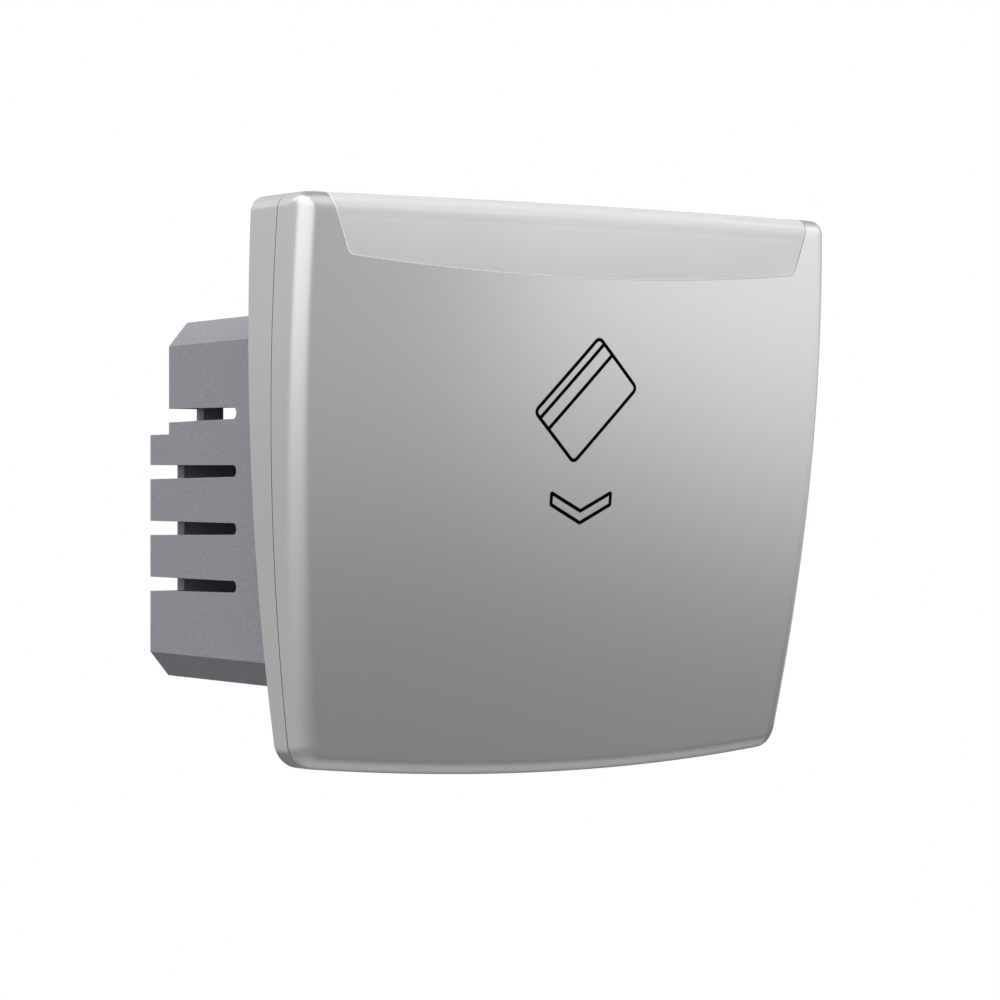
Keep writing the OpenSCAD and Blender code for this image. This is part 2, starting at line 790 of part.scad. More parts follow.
module card_tray() {
    hw = pocket_w / 2 + rail_t / 2;
    color("whitesmoke") difference() {
        union() {
            block([-tray_hw, tray_hw], [pocket_back, tray_back], [tray_low, tray_top]);
            block([-tray_hw, tray_hw], [guide_front, tray_back], [tray_low, stop_z]);
            along_x(-hw, hw) polygon([[guide_front, tray_low], [narrow_front, tray_low],
                [narrow_front, ramp_low], [pocket_front, ramp_high], [pocket_front - lip_t, ramp_high],
                [pocket_front - lip_t, ramp_high / 2], [guide_front, 0]]);
            tray_side();
            mirror([1, 0, 0]) tray_side();
        }
        block([-nose_window, nose_window], [-far, far], lever_window);
        rod([0, box_pitch / 2], access_d / 2, -far, far);
        for (x = led_x) lamp(x, led_side / 2 + free_gap, [pocket_back - through, tray_back + through]);
        tray_holes(hole_play);
    }
}

module tray_screws() {
    color("dimgray") for (s = [-1, 1])
        screw([s * tray_screw_x, 0], small_d, small_head_d, small_head_t, pocket_back, tray_screw_l);
}

module card_lever() {
    color("white") difference() {
        union() {
            along_x(hub_x[0], hub_x[1]) translate([pivot_y, pivot_z]) circle(r = hub_r);
            along_x(-arm_w / 2, hub_x[1]) translate([arm_front, nose_low])
                square([arm_t, pivot_z - nose_low]);
            along_x(-arm_w / 2, arm_w / 2) translate([arm_front, nose_low])
                square([arm_t, pivot_z - hub_r - free_gap - nose_low]);
            along_x(-nose_w / 2, nose_w / 2) polygon([[arm_back, nose_low],
                [nose_bevel - nose_reach, nose_low], [-nose_reach, nose_low + nose_bevel],
                [-nose_reach, nose_low + nose_tip_h], [pocket_back, nose_top], [arm_back, nose_top]]);
            along_x(-pad_w / 2, pad_w / 2) {
                translate([pad_back - pad_r, plunger_z]) circle(r = pad_r);
                translate([arm_front, plunger_z - pad_r]) square([pad_back - pad_r - arm_front, 2 * pad_r]);
            }
        }
        translate([-far / 2, pivot_y, pivot_z]) rotate([0, 90, 0])
            cylinder(h = far, r = pin_d / 2 + pin_play);
    }
}

module lever_pin() {
    end = nose_window + bearing_t;
    color("lightgray") translate([0, pivot_y, pivot_z]) rotate([0, 90, 0]) {
        translate([0, 0, -end - pin_head_t]) cylinder(h = 2 * end + pin_head_t, r = pin_d / 2);
        translate([0, 0, end]) cylinder(h = pin_head_t, r = pin_head_r);
    }
}

// Torsion spring round the pin: one leg rests behind the lever's arm, the other behind the tray.
// Each leg leaves the coil along its tangent and ends where it meets its rest.
module lever_spring() {
    rise = spring_x[1] - spring_x[0];
    steps = (spring_turns + 1) * turn_steps;
    seat = wire_d / 2 + leg_gap;
    function coil_at(t) = [0, pivot_y + spring_r * cos(t), pivot_z + spring_r * sin(t)];
    function leg_end(t, y) = coil_at(t) + (coil_at(t)[1] - y) / sin(t) * [0, -sin(t), cos(t)];
    coil = [for (i = [0:steps]) [spring_x[0] + rise * i / steps, 0, 0]
        + coil_at(coil_from + (coil_to - coil_from) * i / steps)];
    arm_leg = [spring_x[0], 0, 0] + leg_end(coil_from, arm_back + seat);
    tray_leg = [spring_x[1], 0, 0] + leg_end(coil_to, tray_back + seat);
    color("lightgray") wire(concat([arm_leg], coil, [tray_leg]), wire_d);
}

module microswitch_case() {
    color("black") difference() {
        block([-switch_w / 2, switch_w / 2], [switch_y, board_y],
            [plunger_z - switch_h / 2, plunger_z + switch_h / 2]);
        rod([0, plunger_z], plunger_d / 2 + plunger_play, switch_y - through,
            plunger_y + plunger_l + plunger_room);
        for (s = [-1, 1]) translate([s * switch_w / 4, (switch_y + board_y) / 2, plunger_z - switch_h])
            cylinder(h = 2 * switch_h, r = switch_hole_r);
    }
}

module microswitch_plunger() {
    color("firebrick") rod([0, plunger_z], plunger_d / 2, plunger_y, plunger_y + plunger_l);
}

module microswitch_pins() {
    color("gold") for (x = switch_pin_x) rod([x, plunger_z], lead_r, board_y, board_back + lead_tail);
}

module led_board() {
    color("ivory") difference() {
        union() {
            block([-led_board_hw, led_board_hw], [tray_back, led_back], [led_board_low, led_board_top]);
            block(tail_x, [tray_back, led_back], [tail_low, led_board_low + lead_embed]);
        }
        rod([0, box_pitch / 2], access_d / 2 + hole_play, -far, far);
        for (s = [-1, 1]) rod([s * stake_x, stake_z], stake_r + hole_play / 2, -far, far);
        for (x = link_x) rod([x, link_z], lead_hole_r, -far, far);
    }
}

module leds() {
    color("lightyellow") for (x = led_x) lamp(x, led_side / 2, [tray_back - led_t, tray_back]);
}

module led_link_pins() {
    color("gold") for (x = link_x) rod([x, link_z], lead_r, tray_back, board_back + lead_tail);
}

module main_board() {
    color("darkgreen") difference() {
        block([-board_w / 2, board_w / 2], [board_y, board_back], [-board_h / 2, board_h / 2]);
        for (p = all_leads) rod(p, lead_hole_r, -far, far);
        at_corners(post_x, post_z) rod([0, 0], small_d / 2 + hole_play, -far, far);
    }
}

module board_screws() {
    color("dimgray") at_corners(post_x, post_z)
        screw([0, 0], small_d, small_head_d, small_head_t, board_y, board_screw_l);
}

// Wire ends that pass through the board from a component behind it
module leads(at, list, y_back) {
    for (p = shifted(at, list)) rod(p, lead_r, board_y - lead_tail, y_back);
}

// Box on the rear of the board, centred at a place in X and Z
module boxed(at, size) {
    block([at[0] - size[0] / 2, at[0] + size[0] / 2], [board_back, board_back + size[2]],
        [at[1] - size[1] / 2, at[1] + size[1] / 2]);
}

module relay_case() {
    color("royalblue") difference() {
        boxed(relay_at, relay_size);
        for (p = shifted(relay_at, relay_lead_at))
            rod(p, lead_r + hole_play / 2, board_back - through, board_back + relay_pin_l);
    }
}

module relay_pins() {
    color("gold") leads(relay_at, relay_lead_at, board_back + relay_pin_l - fit_gap);
}

// Body of one terminal cage grown by grow, from y_front to its rear end
module cage(x, grow, y_front) {
    block([x - cage_w / 2 - grow, x + cage_w / 2 + grow], [y_front, cage_y + cage_d + grow],
        [terminal_z - cage_h / 2 - grow, terminal_z + cage_h / 2 + grow]);
}

// Upright hole from below up to the terminal's middle
module screw_shaft(x, r) {
    translate([x, terminal_screw_y, -body_h]) cylinder(h = body_h + terminal_z, r = r);
}

module terminal_block() {
    color("gray") difference() {
        block([-block_w / 2, block_w / 2], block_y, [block_low, block_top]);
        for (x = terminal_x) {
            cage(x, fit_gap, block_y[0] - through);
            rod([x, terminal_z], wire_hole_d / 2 + hole_play, cage_y, far);
            screw_shaft(x, terminal_head_d / 2 + hole_play);
        }
    }
}

module terminal_cages() {
    color("goldenrod") for (x = terminal_x) {
        difference() {
            cage(x, 0, cage_y);
            rod([x, terminal_z], wire_hole_d / 2, cage_y + cage_floor, far);
            screw_shaft(x, terminal_screw_d / 2 + hole_play / 2);
        }
        rod([x, terminal_z], lead_r, board_y - lead_tail, cage_y + lead_embed / 2);
    }
}

module terminal_screws() {
    seat = terminal_z - cage_h / 2;
    color("lightgray") for (x = terminal_x) translate([x, terminal_screw_y, seat]) difference() {
        union() {
            translate([0, 0, -terminal_head_t]) cylinder(h = terminal_head_t, r = terminal_head_d / 2);
            cylinder(h = (cage_h - wire_hole_d) / 2, r = terminal_screw_d / 2);
        }
        translate([0, 0, -terminal_head_t])
            cube([terminal_head_d + through, terminal_slot_w, 2 * terminal_slot_t], center = true);
    }
}

module film_capacitor() {
    color("goldenrod") {
        boxed(film_at, film_size);
        leads(film_at, film_lead_at, board_back + lead_embed);
    }
}

module smoothing_capacitor() {
    r = can_r;
    l = can_l;
    rim = can_rim;
    color("midnightblue") {
        translate([can_at[0], board_back, can_at[1]]) rotate([-90, 0, 0]) rotate_extrude()
            polygon([[0, 0], [r - rim, 0], [r, rim], [r, l - rim], [r - rim, l], [0, l]]);
        leads(can_at, can_lead_at, board_back + rim);
    }
}

module bridge_rectifier() {
    mid_y = board_back + bridge_size[2] / 2;
    color("black") {
        boxed(bridge_at, bridge_size);
        leads(bridge_at, bridge_lead_at, mid_y);
        for (p = shifted(bridge_at, bridge_lead_at))
            block([p[0] - lead_r, p[0] + lead_r], [mid_y - lead_r, mid_y + lead_r],
                [min(p[1] - lead_r, bridge_at[1]), max(p[1] + lead_r, bridge_at[1])]);
    }
}

module varistor() {
    axis_y = board_back + disc_lift + disc_r;
    color("royalblue") {
        translate([disc_at[0], axis_y, disc_at[1] - disc_t / 2]) cylinder(h = disc_t, r = disc_r);
        leads(disc_at, disc_lead_at, axis_y);
    }
}

module fuse_resistor() {
    axis_y = board_back + fuse_lift + fuse_r;
    color("darkseagreen") {
        translate([fuse_at[0], axis_y, fuse_at[1] - fuse_l / 2]) cylinder(h = fuse_l, r = fuse_r);
        translate([fuse_at[0], axis_y, fuse_at[1] + fuse_lead_at[0][1]])
            cylinder(h = fuse_lead_at[1][1] - fuse_lead_at[0][1], r = lead_r);
        leads(fuse_at, fuse_lead_at, axis_y + lead_r);
    }
}

module driver_transistor() {
    seat = board_back + transistor_lift;
    color("black") {
        difference() {
            rod(transistor_at, transistor_r, seat, seat + transistor_h);
            block([-far, far], [-far, far], [transistor_at[1] + transistor_r / 2, far]);
        }
        leads(transistor_at, transistor_lead_at, seat + lead_embed);
    }
}

module control_chip() {
    half = chip_size / 2;
    leg = chip_leg_w / 2;
    mid_y = board_y - chip_lift - half[2];
    color("black") {
        block([chip_at[0] - half[0], chip_at[0] + half[0]], [mid_y - half[2], mid_y + half[2]],
            [chip_at[1] - half[1], chip_at[1] + half[1]]);
        for (p = shifted(chip_at, chip_lead_at)) {
            block([p[0] - leg, p[0] + leg], [mid_y - leg, mid_y + leg],
                [min(p[1] - leg, chip_at[1]), max(p[1] + leg, chip_at[1])]);
            block([p[0] - leg, p[0] + leg], [mid_y, board_back + lead_tail], [p[1] - leg, p[1] + leg]);
        }
    }
}

module chip_resistors() {
    half = resistor_size / 2;
    color("dimgray") for (x = resistor_x) block([x - half[0], x + half[0]],
        [board_y - resistor_size[2], board_y], [resistor_z - half[1], resistor_z + half[1]]);
}

front_cover();
light_lens();
rear_frame();
mounting_plate();
housing();
housing_screws();
card_tray();
tray_screws();
card_lever();
lever_pin();
lever_spring();
microswitch_case();
microswitch_plunger();
microswitch_pins();
led_board();
leds();
led_link_pins();
main_board();
board_screws();
relay_case();
relay_pins();
terminal_block();
terminal_cages();
terminal_screws();
film_capacitor();
smoothing_capacitor();
bridge_rectifier();
varistor();
fuse_resistor();
driver_transistor();
control_chip();
chip_resistors();
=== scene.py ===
import math

import bpy
import numpy as np
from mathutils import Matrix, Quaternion, Vector
from mathutils.geometry import delaunay_2d_cdt


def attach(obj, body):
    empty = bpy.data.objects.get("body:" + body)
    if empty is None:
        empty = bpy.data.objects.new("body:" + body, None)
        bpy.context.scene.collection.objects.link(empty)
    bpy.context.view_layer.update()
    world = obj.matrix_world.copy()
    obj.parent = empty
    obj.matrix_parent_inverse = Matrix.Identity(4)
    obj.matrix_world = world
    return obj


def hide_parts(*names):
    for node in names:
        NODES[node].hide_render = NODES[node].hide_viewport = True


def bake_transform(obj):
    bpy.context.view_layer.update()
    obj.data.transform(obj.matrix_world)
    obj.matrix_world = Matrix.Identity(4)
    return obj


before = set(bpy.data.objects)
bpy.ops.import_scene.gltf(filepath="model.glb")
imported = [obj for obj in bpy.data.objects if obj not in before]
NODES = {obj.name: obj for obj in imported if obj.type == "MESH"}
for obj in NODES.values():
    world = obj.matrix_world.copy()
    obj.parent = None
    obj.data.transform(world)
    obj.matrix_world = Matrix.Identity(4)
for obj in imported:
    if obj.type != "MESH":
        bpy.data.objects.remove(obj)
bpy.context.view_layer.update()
MM = 0.001
RIGHT_ANGLE = math.pi / 2
TINY = 1e-12           # keeps a length of nothing out of a division

# Cover in millimetres: the source's sizes, with rounder lower corners, and a little smaller in places so
# that it stays inside the solids' box
COVER_W, COVER_TOP, COVER_DROP = 91.97, 40.7, 37.9
WIDEST_Z, SIDE_R, BOTTOM_R, TOP_R = 22.0, 372.0, 408.0, 20000.0
CORNER_TOP_R, CORNER_LOW_R, LEAST_CORNER = 2.3, 4.2, 0.25
FRONT_T, FRONT_SLOPE, FRONT_CURVE_R, FRONT_BOW_R = 12.48, 0.098, 714.0, 346.0
PARTING_D, PARTING_SLOPE = 4.9, 0.0463
COVER_WALL, RIM_WALL, LENS_WALL = 1.8, 2.0, 2.0

# Rounding of the cover's front edge. At the sides it grows by the gain over a run that starts at a height
ROUND_SIDE, ROUND_LOW, ROUND_TOP = 3.1, 2.0, 2.6
ROUND_GAIN, GAIN_FROM_Z, GAIN_RUN = 0.35, 12.0, 40.0

# Edges and fits in millimetres
COVER_EDGE = 0.03      # rounding of the moulded edges at the parting line and the window's opening
LENS_EDGE = 0.16       # rounding of the light window's own edges
WINDOW_GAP = -0.02     # half of the gap between window and cover, less than nothing for a pressed fit
RIGHT_PLAY = 0.12      # extra gap at the right end of the window
LENS_LIFT = 0.09       # the light window stands this much in front of the cover
PART_GAP = 0.06        # half of the gap at the parting line
SEAM_PLAY = 0.045      # the cover's rear edge stands this much further in front of the parting line

# Numbers of points along a ring's bottom, corner and side, and of rings over the rounded front edge
RING_LOW_STEPS, RING_CORNER_STEPS, RING_SIDE_STEPS = 30, 14, 46
FILLET_STEPS = 16
FILLET_TURNS = np.radians(np.linspace(0, 90, FILLET_STEPS))


def half_w(z):
    return COVER_W / 2 - (z - WIDEST_Z) ** 2 / (2 * SIDE_R)


def bottom_at(x):
    return -COVER_DROP + x * x / (2 * BOTTOM_R)


def top_at(x):
    return COVER_TOP - x * x / (2 * TOP_R)


def parting(z):
    return PARTING_D + PARTING_SLOPE * z


def front_at(x, z, lift=0.0):
    return FRONT_T + lift + FRONT_SLOPE * z - z * z / (2 * FRONT_CURVE_R) - x * x / (2 * FRONT_BOW_R)


# Centres of the outline's corner arcs, and the angles at which they begin and end
first_x = half_w(-COVER_DROP + CORNER_LOW_R) - CORNER_LOW_R
first_z = bottom_at(first_x) + CORNER_LOW_R
LOW_X = half_w(first_z) - CORNER_LOW_R
LOW_Z = bottom_at(LOW_X) + CORNER_LOW_R
HIGH_Z = top_at(COVER_W / 2) - CORNER_TOP_R
HIGH_X = half_w(HIGH_Z) - CORNER_TOP_R
LOW_FROM = math.atan(LOW_X / BOTTOM_R) - RIGHT_ANGLE
LOW_TO = -math.atan((WIDEST_Z - LOW_Z) / SIDE_R)
HIGH_FROM = math.atan((HIGH_Z - WIDEST_Z) / SIDE_R)


def side_round(z):
    return ROUND_SIDE + ROUND_GAIN * min(1.0, max(0.0, (GAIN_FROM_Z - z) / GAIN_RUN))


def ring_right(turn):
    """Right half of one ring of the rounded front edge, from the bottom's middle to the end of the top
    corner, as X, Z and the rounding there. The turn runs from 0 at the wall to a right angle at the face."""
    inset = 1 - math.cos(turn)
    round_low = side_round(LOW_Z)
    side_low, side = round_low * inset, ROUND_SIDE * inset
    low, top = ROUND_LOW * inset, ROUND_TOP * inset
    low_wide = max(CORNER_LOW_R - side_low, LEAST_CORNER)
    low_tall = max(CORNER_LOW_R - low, LEAST_CORNER)
    top_wide = max(CORNER_TOP_R - side, LEAST_CORNER)
    top_tall = max(CORNER_TOP_R - top, LEAST_CORNER)
    low_x = LOW_X - (side_low + low_wide - CORNER_LOW_R)
    low_z = LOW_Z + (low + low_tall - CORNER_LOW_R)
    top_x = HIGH_X - (side + top_wide - CORNER_TOP_R)
    top_z = HIGH_Z - (top + top_tall - CORNER_TOP_R)
    ring = [(x, bottom_at(x) + low, ROUND_LOW) for x in np.linspace(0, low_x, RING_LOW_STEPS)]
    for t in np.linspace(LOW_FROM, LOW_TO, RING_CORNER_STEPS + 2)[1:-1]:
        ring.append((low_x + low_wide * math.cos(t), low_z + low_tall * math.sin(t),
                     ROUND_LOW + (round_low - ROUND_LOW) * math.cos(t) ** 2))
    for z in np.linspace(low_z, top_z, RING_SIDE_STEPS):
        ring.append((half_w(z) - side_round(z) * inset, z, side_round(z)))
    for t in np.linspace(HIGH_FROM, RIGHT_ANGLE, RING_CORNER_STEPS + 2)[1:-1]:
        ring.append((top_x + top_wide * math.cos(t), top_z + top_tall * math.sin(t),
                     ROUND_TOP + (ROUND_SIDE - ROUND_TOP) * math.cos(t) ** 2))
    ring.append((top_x, top_at(top_x) - top, ROUND_TOP))
    return ring


def mirrored(points):
    """Left half that follows a right half, from its last point back to the bottom's middle."""
    return [(-p[0],) + tuple(p[1:]) for p in reversed(points)]


def rounded_depth(x, z, radius, turn, lift=0.0):
    """Depth in front of the wall of a point on the rounded front edge."""
    return front_at(x, z, lift) - radius * (1 - math.sin(turn))


# Outline of the light window: lower edge, rounded corner, slanting side that turns upright over the top edge
WIN_Z, WIN_R = 30.4, 376.0
WIN_CORNER_R, WIN_CORNER_X = 1.3, 37.25
WIN_SLOPE = 0.362      # half width gained per millimetre of height along the slanting side
WIN_LEAN = math.atan(WIN_SLOPE)
WIN_TOP_X = 40.8       # half width on the top
WIN_OVER_BEND = 1.7    # a higher power turns the side upright sooner
WIN_LOW_STEPS, WIN_CORNER_STEPS, WIN_SIDE_STEPS = 44, 9, 7


def win_edge(x):
    return WIN_Z + x * x / (2 * WIN_R)


WIN_CORNER_Z = win_edge(WIN_CORNER_X) + WIN_CORNER_R


def win_side(z, grow):
    return WIN_CORNER_X + (WIN_CORNER_R + grow) / math.cos(WIN_LEAN) + (z - WIN_CORNER_Z) * WIN_SLOPE


def win_over(inset, grow):
    """Half width of the window where it runs over the rounded top edge."""
    low = win_side(COVER_TOP - ROUND_TOP, grow)
    share = 1 - inset / ROUND_TOP
    return low + (WIN_TOP_X + grow - low) * (1 - (1 - share) ** WIN_OVER_BEND)


def window_chain(grow):
    """Right half of the window's outline in X and Z, from the lower edge's middle up to the rounded top."""
    radius = WIN_CORNER_R + grow
    start = math.atan(WIN_CORNER_X / WIN_R) - RIGHT_ANGLE
    chain = [(x, win_edge(x) - grow) for x in np.linspace(0, WIN_CORNER_X, WIN_LOW_STEPS)]
    for t in np.linspace(start, -WIN_LEAN, WIN_CORNER_STEPS)[1:]:
        chain.append((WIN_CORNER_X + radius * math.cos(t), WIN_CORNER_Z + radius * math.sin(t)))
    for z in np.linspace(chain[-1][1], COVER_TOP - ROUND_TOP, WIN_SIDE_STEPS)[1:-1]:
        chain.append((win_side(z, grow), z))
    return chain


# Mesh helpers
RIM_STEPS = 3          # steps of a sheet's rounded rim
LEAST_SPREAD = 0.5     # keeps the rim from running far out at a sharp corner
ROW_SHARE = 0.866      # distance of a point grid's rows, as a share of its pitch
MERGE_LENGTH, LEAST_AREA = 1e-9, 1e-9
FACE_PITCH, FACE_MARGIN = 1.5, 0.9


def make_object(name, verts, faces, corner_normals=None):
    """Mesh object from millimetres, smooth where the normals of the face corners are given."""
    mesh = bpy.data.meshes.new(name)
    points = [tuple(v) for v in np.asarray(verts) * MM]
    mesh.from_pydata(points, [], [tuple(int(i) for i in face) for face in faces])
    mesh.update()
    if corner_normals is not None:
        mesh.polygons.foreach_set("use_smooth", [True] * len(mesh.polygons))
        mesh.normals_split_custom_set([tuple(n) for n in corner_normals])
    obj = bpy.data.objects.new(name, mesh)
    bpy.context.scene.collection.objects.link(obj)
    return obj


def row_faces(rows, closed=False, skip=None):
    """Four-sided faces between neighbouring rows, but none where skip is true of two points of a row."""
    n = len(rows[0])
    faces = []
    for r, row in enumerate(rows[:-1]):
        for i in range(n if closed else n - 1):
            j = (i + 1) % n
            if not (skip and skip(row[i], row[j])):
                faces.append((r * n + i, r * n + j, (r + 1) * n + j, (r + 1) * n + i))
    return faces


def used_only(verts, faces):
    """The points that the faces use, and the faces with their new numbers."""
    used = sorted({i for face in faces for i in face})
    place = {v: k for k, v in enumerate(used)}
    return [verts[i] for i in used], [tuple(place[i] for i in face) for face in faces]


def vertex_normals(verts, faces):
    normals = np.zeros_like(verts)
    for face in faces:
        points = verts[list(face)]
        total = np.zeros(3)
        for a, b in zip(points, np.roll(points, -1, axis=0)):
            total += np.cross(a, b)
        normals[list(face)] += total
    length = np.linalg.norm(normals, axis=1)
    length[length < TINY] = 1
    return normals / length[:, None]


def border_edges(faces):
    """Edges that belong to one face alone, in the direction in which that face runs."""
    edges = {}
    for face in faces:
        edges.update(dict.fromkeys(zip(face, tuple(face[1:]) + (face[0],))))
    return [(a, b) for a, b in edges if (b, a) not in edges]


def outward(verts, normals, border):
    """Directions away from the sheet at its border points, longer at a corner so that a rim keeps its width,
    and the numbers of those points."""
    out, first = np.zeros_like(verts), {}
    for a, b in border:
        along = verts[b] - verts[a]
        along /= max(np.linalg.norm(along), TINY)
        for v in (a, b):
            away = np.cross(along, normals[v])
            away /= max(np.linalg.norm(away), TINY)
            out[v] += away
            first.setdefault(v, away)
    for v, away in first.items():
        mean = out[v] / max(np.linalg.norm(out[v]), TINY)
        out[v] = mean / max(LEAST_SPREAD, float(np.dot(mean, away)))
    return out, sorted(first)


def thick_sheet(verts, faces, wall, edge, steps=RIM_STEPS):
    """Closes a sheet to a shell of that wall, with a rounded rim that stands edge beyond the sheet's border.
    Returns points, faces and the normal of every face corner."""
    verts = np.asarray(verts, float)
    normals = vertex_normals(verts, faces)
    border = border_edges(faces)
    out, rim = outward(verts, normals, border)
    place = {v: k for k, v in enumerate(rim)}
    rim_at, rim_normal, rim_out = verts[rim], normals[rim], out[rim]
    rows = []
    for k in range(1, steps + 1):
        turn = RIGHT_ANGLE * k / steps
        rows.append(rim_at + edge * math.sin(turn) * rim_out - edge * (1 - math.cos(turn)) * rim_normal)
    rows.append(rim_at + edge * rim_out - (wall - edge) * rim_normal)
    inner = len(verts) + len(rim) * len(rows)

    def number(row, v):
        """Number of a border point in a row of the rim, from the sheet itself to the inside of the shell."""
        if row == 0:
            return v
        if row <= len(rows):
            return len(verts) + (row - 1) * len(rim) + place[v]
        return inner + v

    def lean(row, v):
        """Normal of a border point in a row of the rim."""
        away = out[v] / max(np.linalg.norm(out[v]), TINY)
        turn = RIGHT_ANGLE * min(row, steps) / steps
        return math.cos(turn) * normals[v] + math.sin(turn) * away

    made = [tuple(face) for face in faces]
    made += [tuple(inner + i for i in reversed(face)) for face in faces]
    corners = [normals[i] for face in faces for i in face]
    corners += [-normals[i] for face in faces for i in reversed(face)]
    for a, b in border:
        for row in range(len(rows) + 1):
            quad = ((row, b), (row, a), (row + 1, a), (row + 1, b))
            made.append(tuple(number(*corner) for corner in quad))
            corners += [lean(*corner) for corner in quad]
    return np.vstack([verts] + rows + [verts - wall * normals]), made, corners


def inside(loop, points):
    """Even-odd test of many points against one loop."""
    loop = np.asarray(loop)
    hit = np.zeros(len(points), bool)
    for (x0, z0), (x1, z1) in zip(loop, np.roll(loop, -1, axis=0)):
        if z0 == z1:
            continue
        crosses = (points[:, 1] > z0) != (points[:, 1] > z1)
        x = x0 + (points[:, 1] - z0) * (x1 - x0) / (z1 - z0)
        hit ^= crosses & (points[:, 0] < x)
    return hit


def within(loops, points):
    """Which points lie inside the first loop and outside the others."""
    hit = inside(loops[0], points)
    for loop in loops[1:]:
        hit &= ~inside(loop, points)
    return hit


def grid_points(loops, pitch, margin):
    """Points of a triangular grid over the area, none nearer to a loop than the margin."""
    low, high = np.min(loops[0], axis=0), np.max(loops[0], axis=0)
    grid = []
    for k, z in enumerate(np.arange(low[1] + pitch / 2, high[1], pitch * ROW_SHARE)):
        start = low[0] + (pitch / 2 if k % 2 else pitch)
        grid += [(x, z) for x in np.arange(start, high[0], pitch)]
    grid = np.asarray(grid)
    grid = grid[within(loops, grid)]
    dense = []
    for loop in loops:
        loop = np.asarray(loop)
        for a, b in zip(loop, np.roll(loop, -1, axis=0)):
            steps = max(1, int(np.linalg.norm(b - a) / (margin / 2)))
            dense += [a + (b - a) * k / steps for k in range(steps)]
    dense = np.asarray(dense)
    near = np.array([np.min(np.sum((dense - point) ** 2, axis=1)) for point in grid])
    return grid[near > margin * margin]


def fill(loops, pitch, margin):
    """Triangles of the area inside the first loop and outside the others. Returns the inner points and the
    triangles, whose numbers run first through the loops and then through the inner points."""
    grid = grid_points(loops, pitch, margin)
    points = np.vstack([np.asarray(loop) for loop in loops] + [grid])
    edges, start = [], 0
    for loop in loops:
        n = len(loop)
        edges += [(start + i, start + (i + 1) % n) for i in range(n)]
        start += n
    _, _, tris, origin, _, _ = delaunay_2d_cdt([Vector(p) for p in points], edges, [], 0, MERGE_LENGTH)
    tris = np.array([[origin[i][0] for i in tri] for tri in tris])
    made = []
    for i, j, k in tris[within(loops, points[tris].mean(axis=1))]:
        a, b, c = points[i], points[j], points[k]
        area = (b[0] - a[0]) * (c[1] - a[1]) - (b[1] - a[1]) * (c[0] - a[0])
        if abs(area) > LEAST_AREA:
            made.append((i, j, k) if area > 0 else (i, k, j))
    return grid, made


def front_sheet(rows, faces, window, lift=0.0):
    """Points and faces of a rounded edge together with the front face, which the edge's last row and the
    window's outline bound."""
    verts = [p for row in rows for p in row]
    start = len(verts) - len(rows[-1])
    grid, tris = fill([[(x, z) for x, _, z in rows[-1]] + window], FACE_PITCH, FACE_MARGIN)
    for x, z in window + list(grid):
        verts.append((x, -front_at(x, z, lift), z))
    return verts, faces + [tuple(start + i for i in tri) for tri in tris]


# Front cover
BESIDE_WINDOW = (0.34, 0.67, 1.0)     # points of a ring from the top corner to the window, as shares
WALL_STEPS = 6                        # rows of points between the parting line and the rounded edge
CLEAR, CLEAR_RISE = 0.05, 0.1         # least distance of the rounded edge from the seam, rising by its turn


def cover_ring(turn):
    """One ring of the cover, from the window's left end down, round the bottom and up to its right end."""
    right = ring_right(turn)
    top = ROUND_TOP * (1 - math.cos(turn))
    start = right[-1][0]
    end = win_over(top, WINDOW_GAP + COVER_EDGE)
    for share in BESIDE_WINDOW:
        right.append((start + (end - start) * share, COVER_TOP - top, ROUND_TOP))
    return mirrored(right)[:-1] + right


def build_cover():
    seam = PART_GAP + COVER_EDGE + SEAM_PLAY
    foot = cover_ring(0)
    rounds = []
    for turn in FILLET_TURNS:
        row = []
        for (x, z, radius), (_, foot_z, _) in zip(cover_ring(turn), foot):
            least = parting(foot_z) + seam + CLEAR + CLEAR_RISE * turn
            row.append((x, -max(rounded_depth(x, z, radius, turn), least), z))
        rounds.append(row)
    rows = []
    for k in range(WALL_STEPS):
        rows.append([(x, -(parting(z) + seam) + (y + parting(z) + seam) * k / WALL_STEPS, z)
                     for x, y, z in rounds[0]])
    rows += rounds
    chain = window_chain(WINDOW_GAP + COVER_EDGE)
    window = chain[::-1] + [(-x, z) for x, z in chain[1:]]
    verts, faces = front_sheet(rows, row_faces(rows), window)
    return make_object("cover_skin", *thick_sheet(verts, faces, COVER_WALL, COVER_EDGE))


# Light window
TONGUE_X, TONGUE_Y = 38.5, -2.9          # half width and rear end of the tongue in the rear frame's notch
MOUTH_X, MOUTH_Y = 28.8, (-9.3, -3.8)    # half width of the card mouth, and its front and rear edges
REAR_ROW_Y, FRONT_ROW_Y = -5.3, -8.2     # rows of points behind the parting line and in front of it
MOUTH_STEPS, TONGUE_STEPS, END_STEPS = 20, 8, 4
PLAY_LOW = 0.4                           # share of the right-hand play that the lower edge takes
PLAY_FROM_X, PLAY_RUN = 4.0, 30.0        # where that share begins, and the run over which it comes in
PLAY_CORNER = 0.4                        # the rest comes in from this far past the corner's middle
# The low part of the window's rim glows with painted light, set by these two numbers
GLOW_RIM_TILT, GLOW_RIM_Z = -0.2, 34.0     # the rim's low part faces down by this much, below this height


def play_share(x):
    along = min(1.0, max(0.0, x - PLAY_FROM_X) / PLAY_RUN)
    corner = min(1.0, max(0.0, x - WIN_CORNER_X - PLAY_CORNER))
    return PLAY_LOW * along + (1 - PLAY_LOW) * corner


def lens_outline(grow):
    """Outline of the front of the window, from its left end along the lower edge to its right end."""
    left = window_chain(grow)
    right = []
    for near, far in zip(left, window_chain(grow - RIGHT_PLAY)):
        share = play_share(near[0])
        right.append(tuple(a + (b - a) * share for a, b in zip(near, far)))
    return [(-x, z) for x, z in reversed(left)] + right[1:]


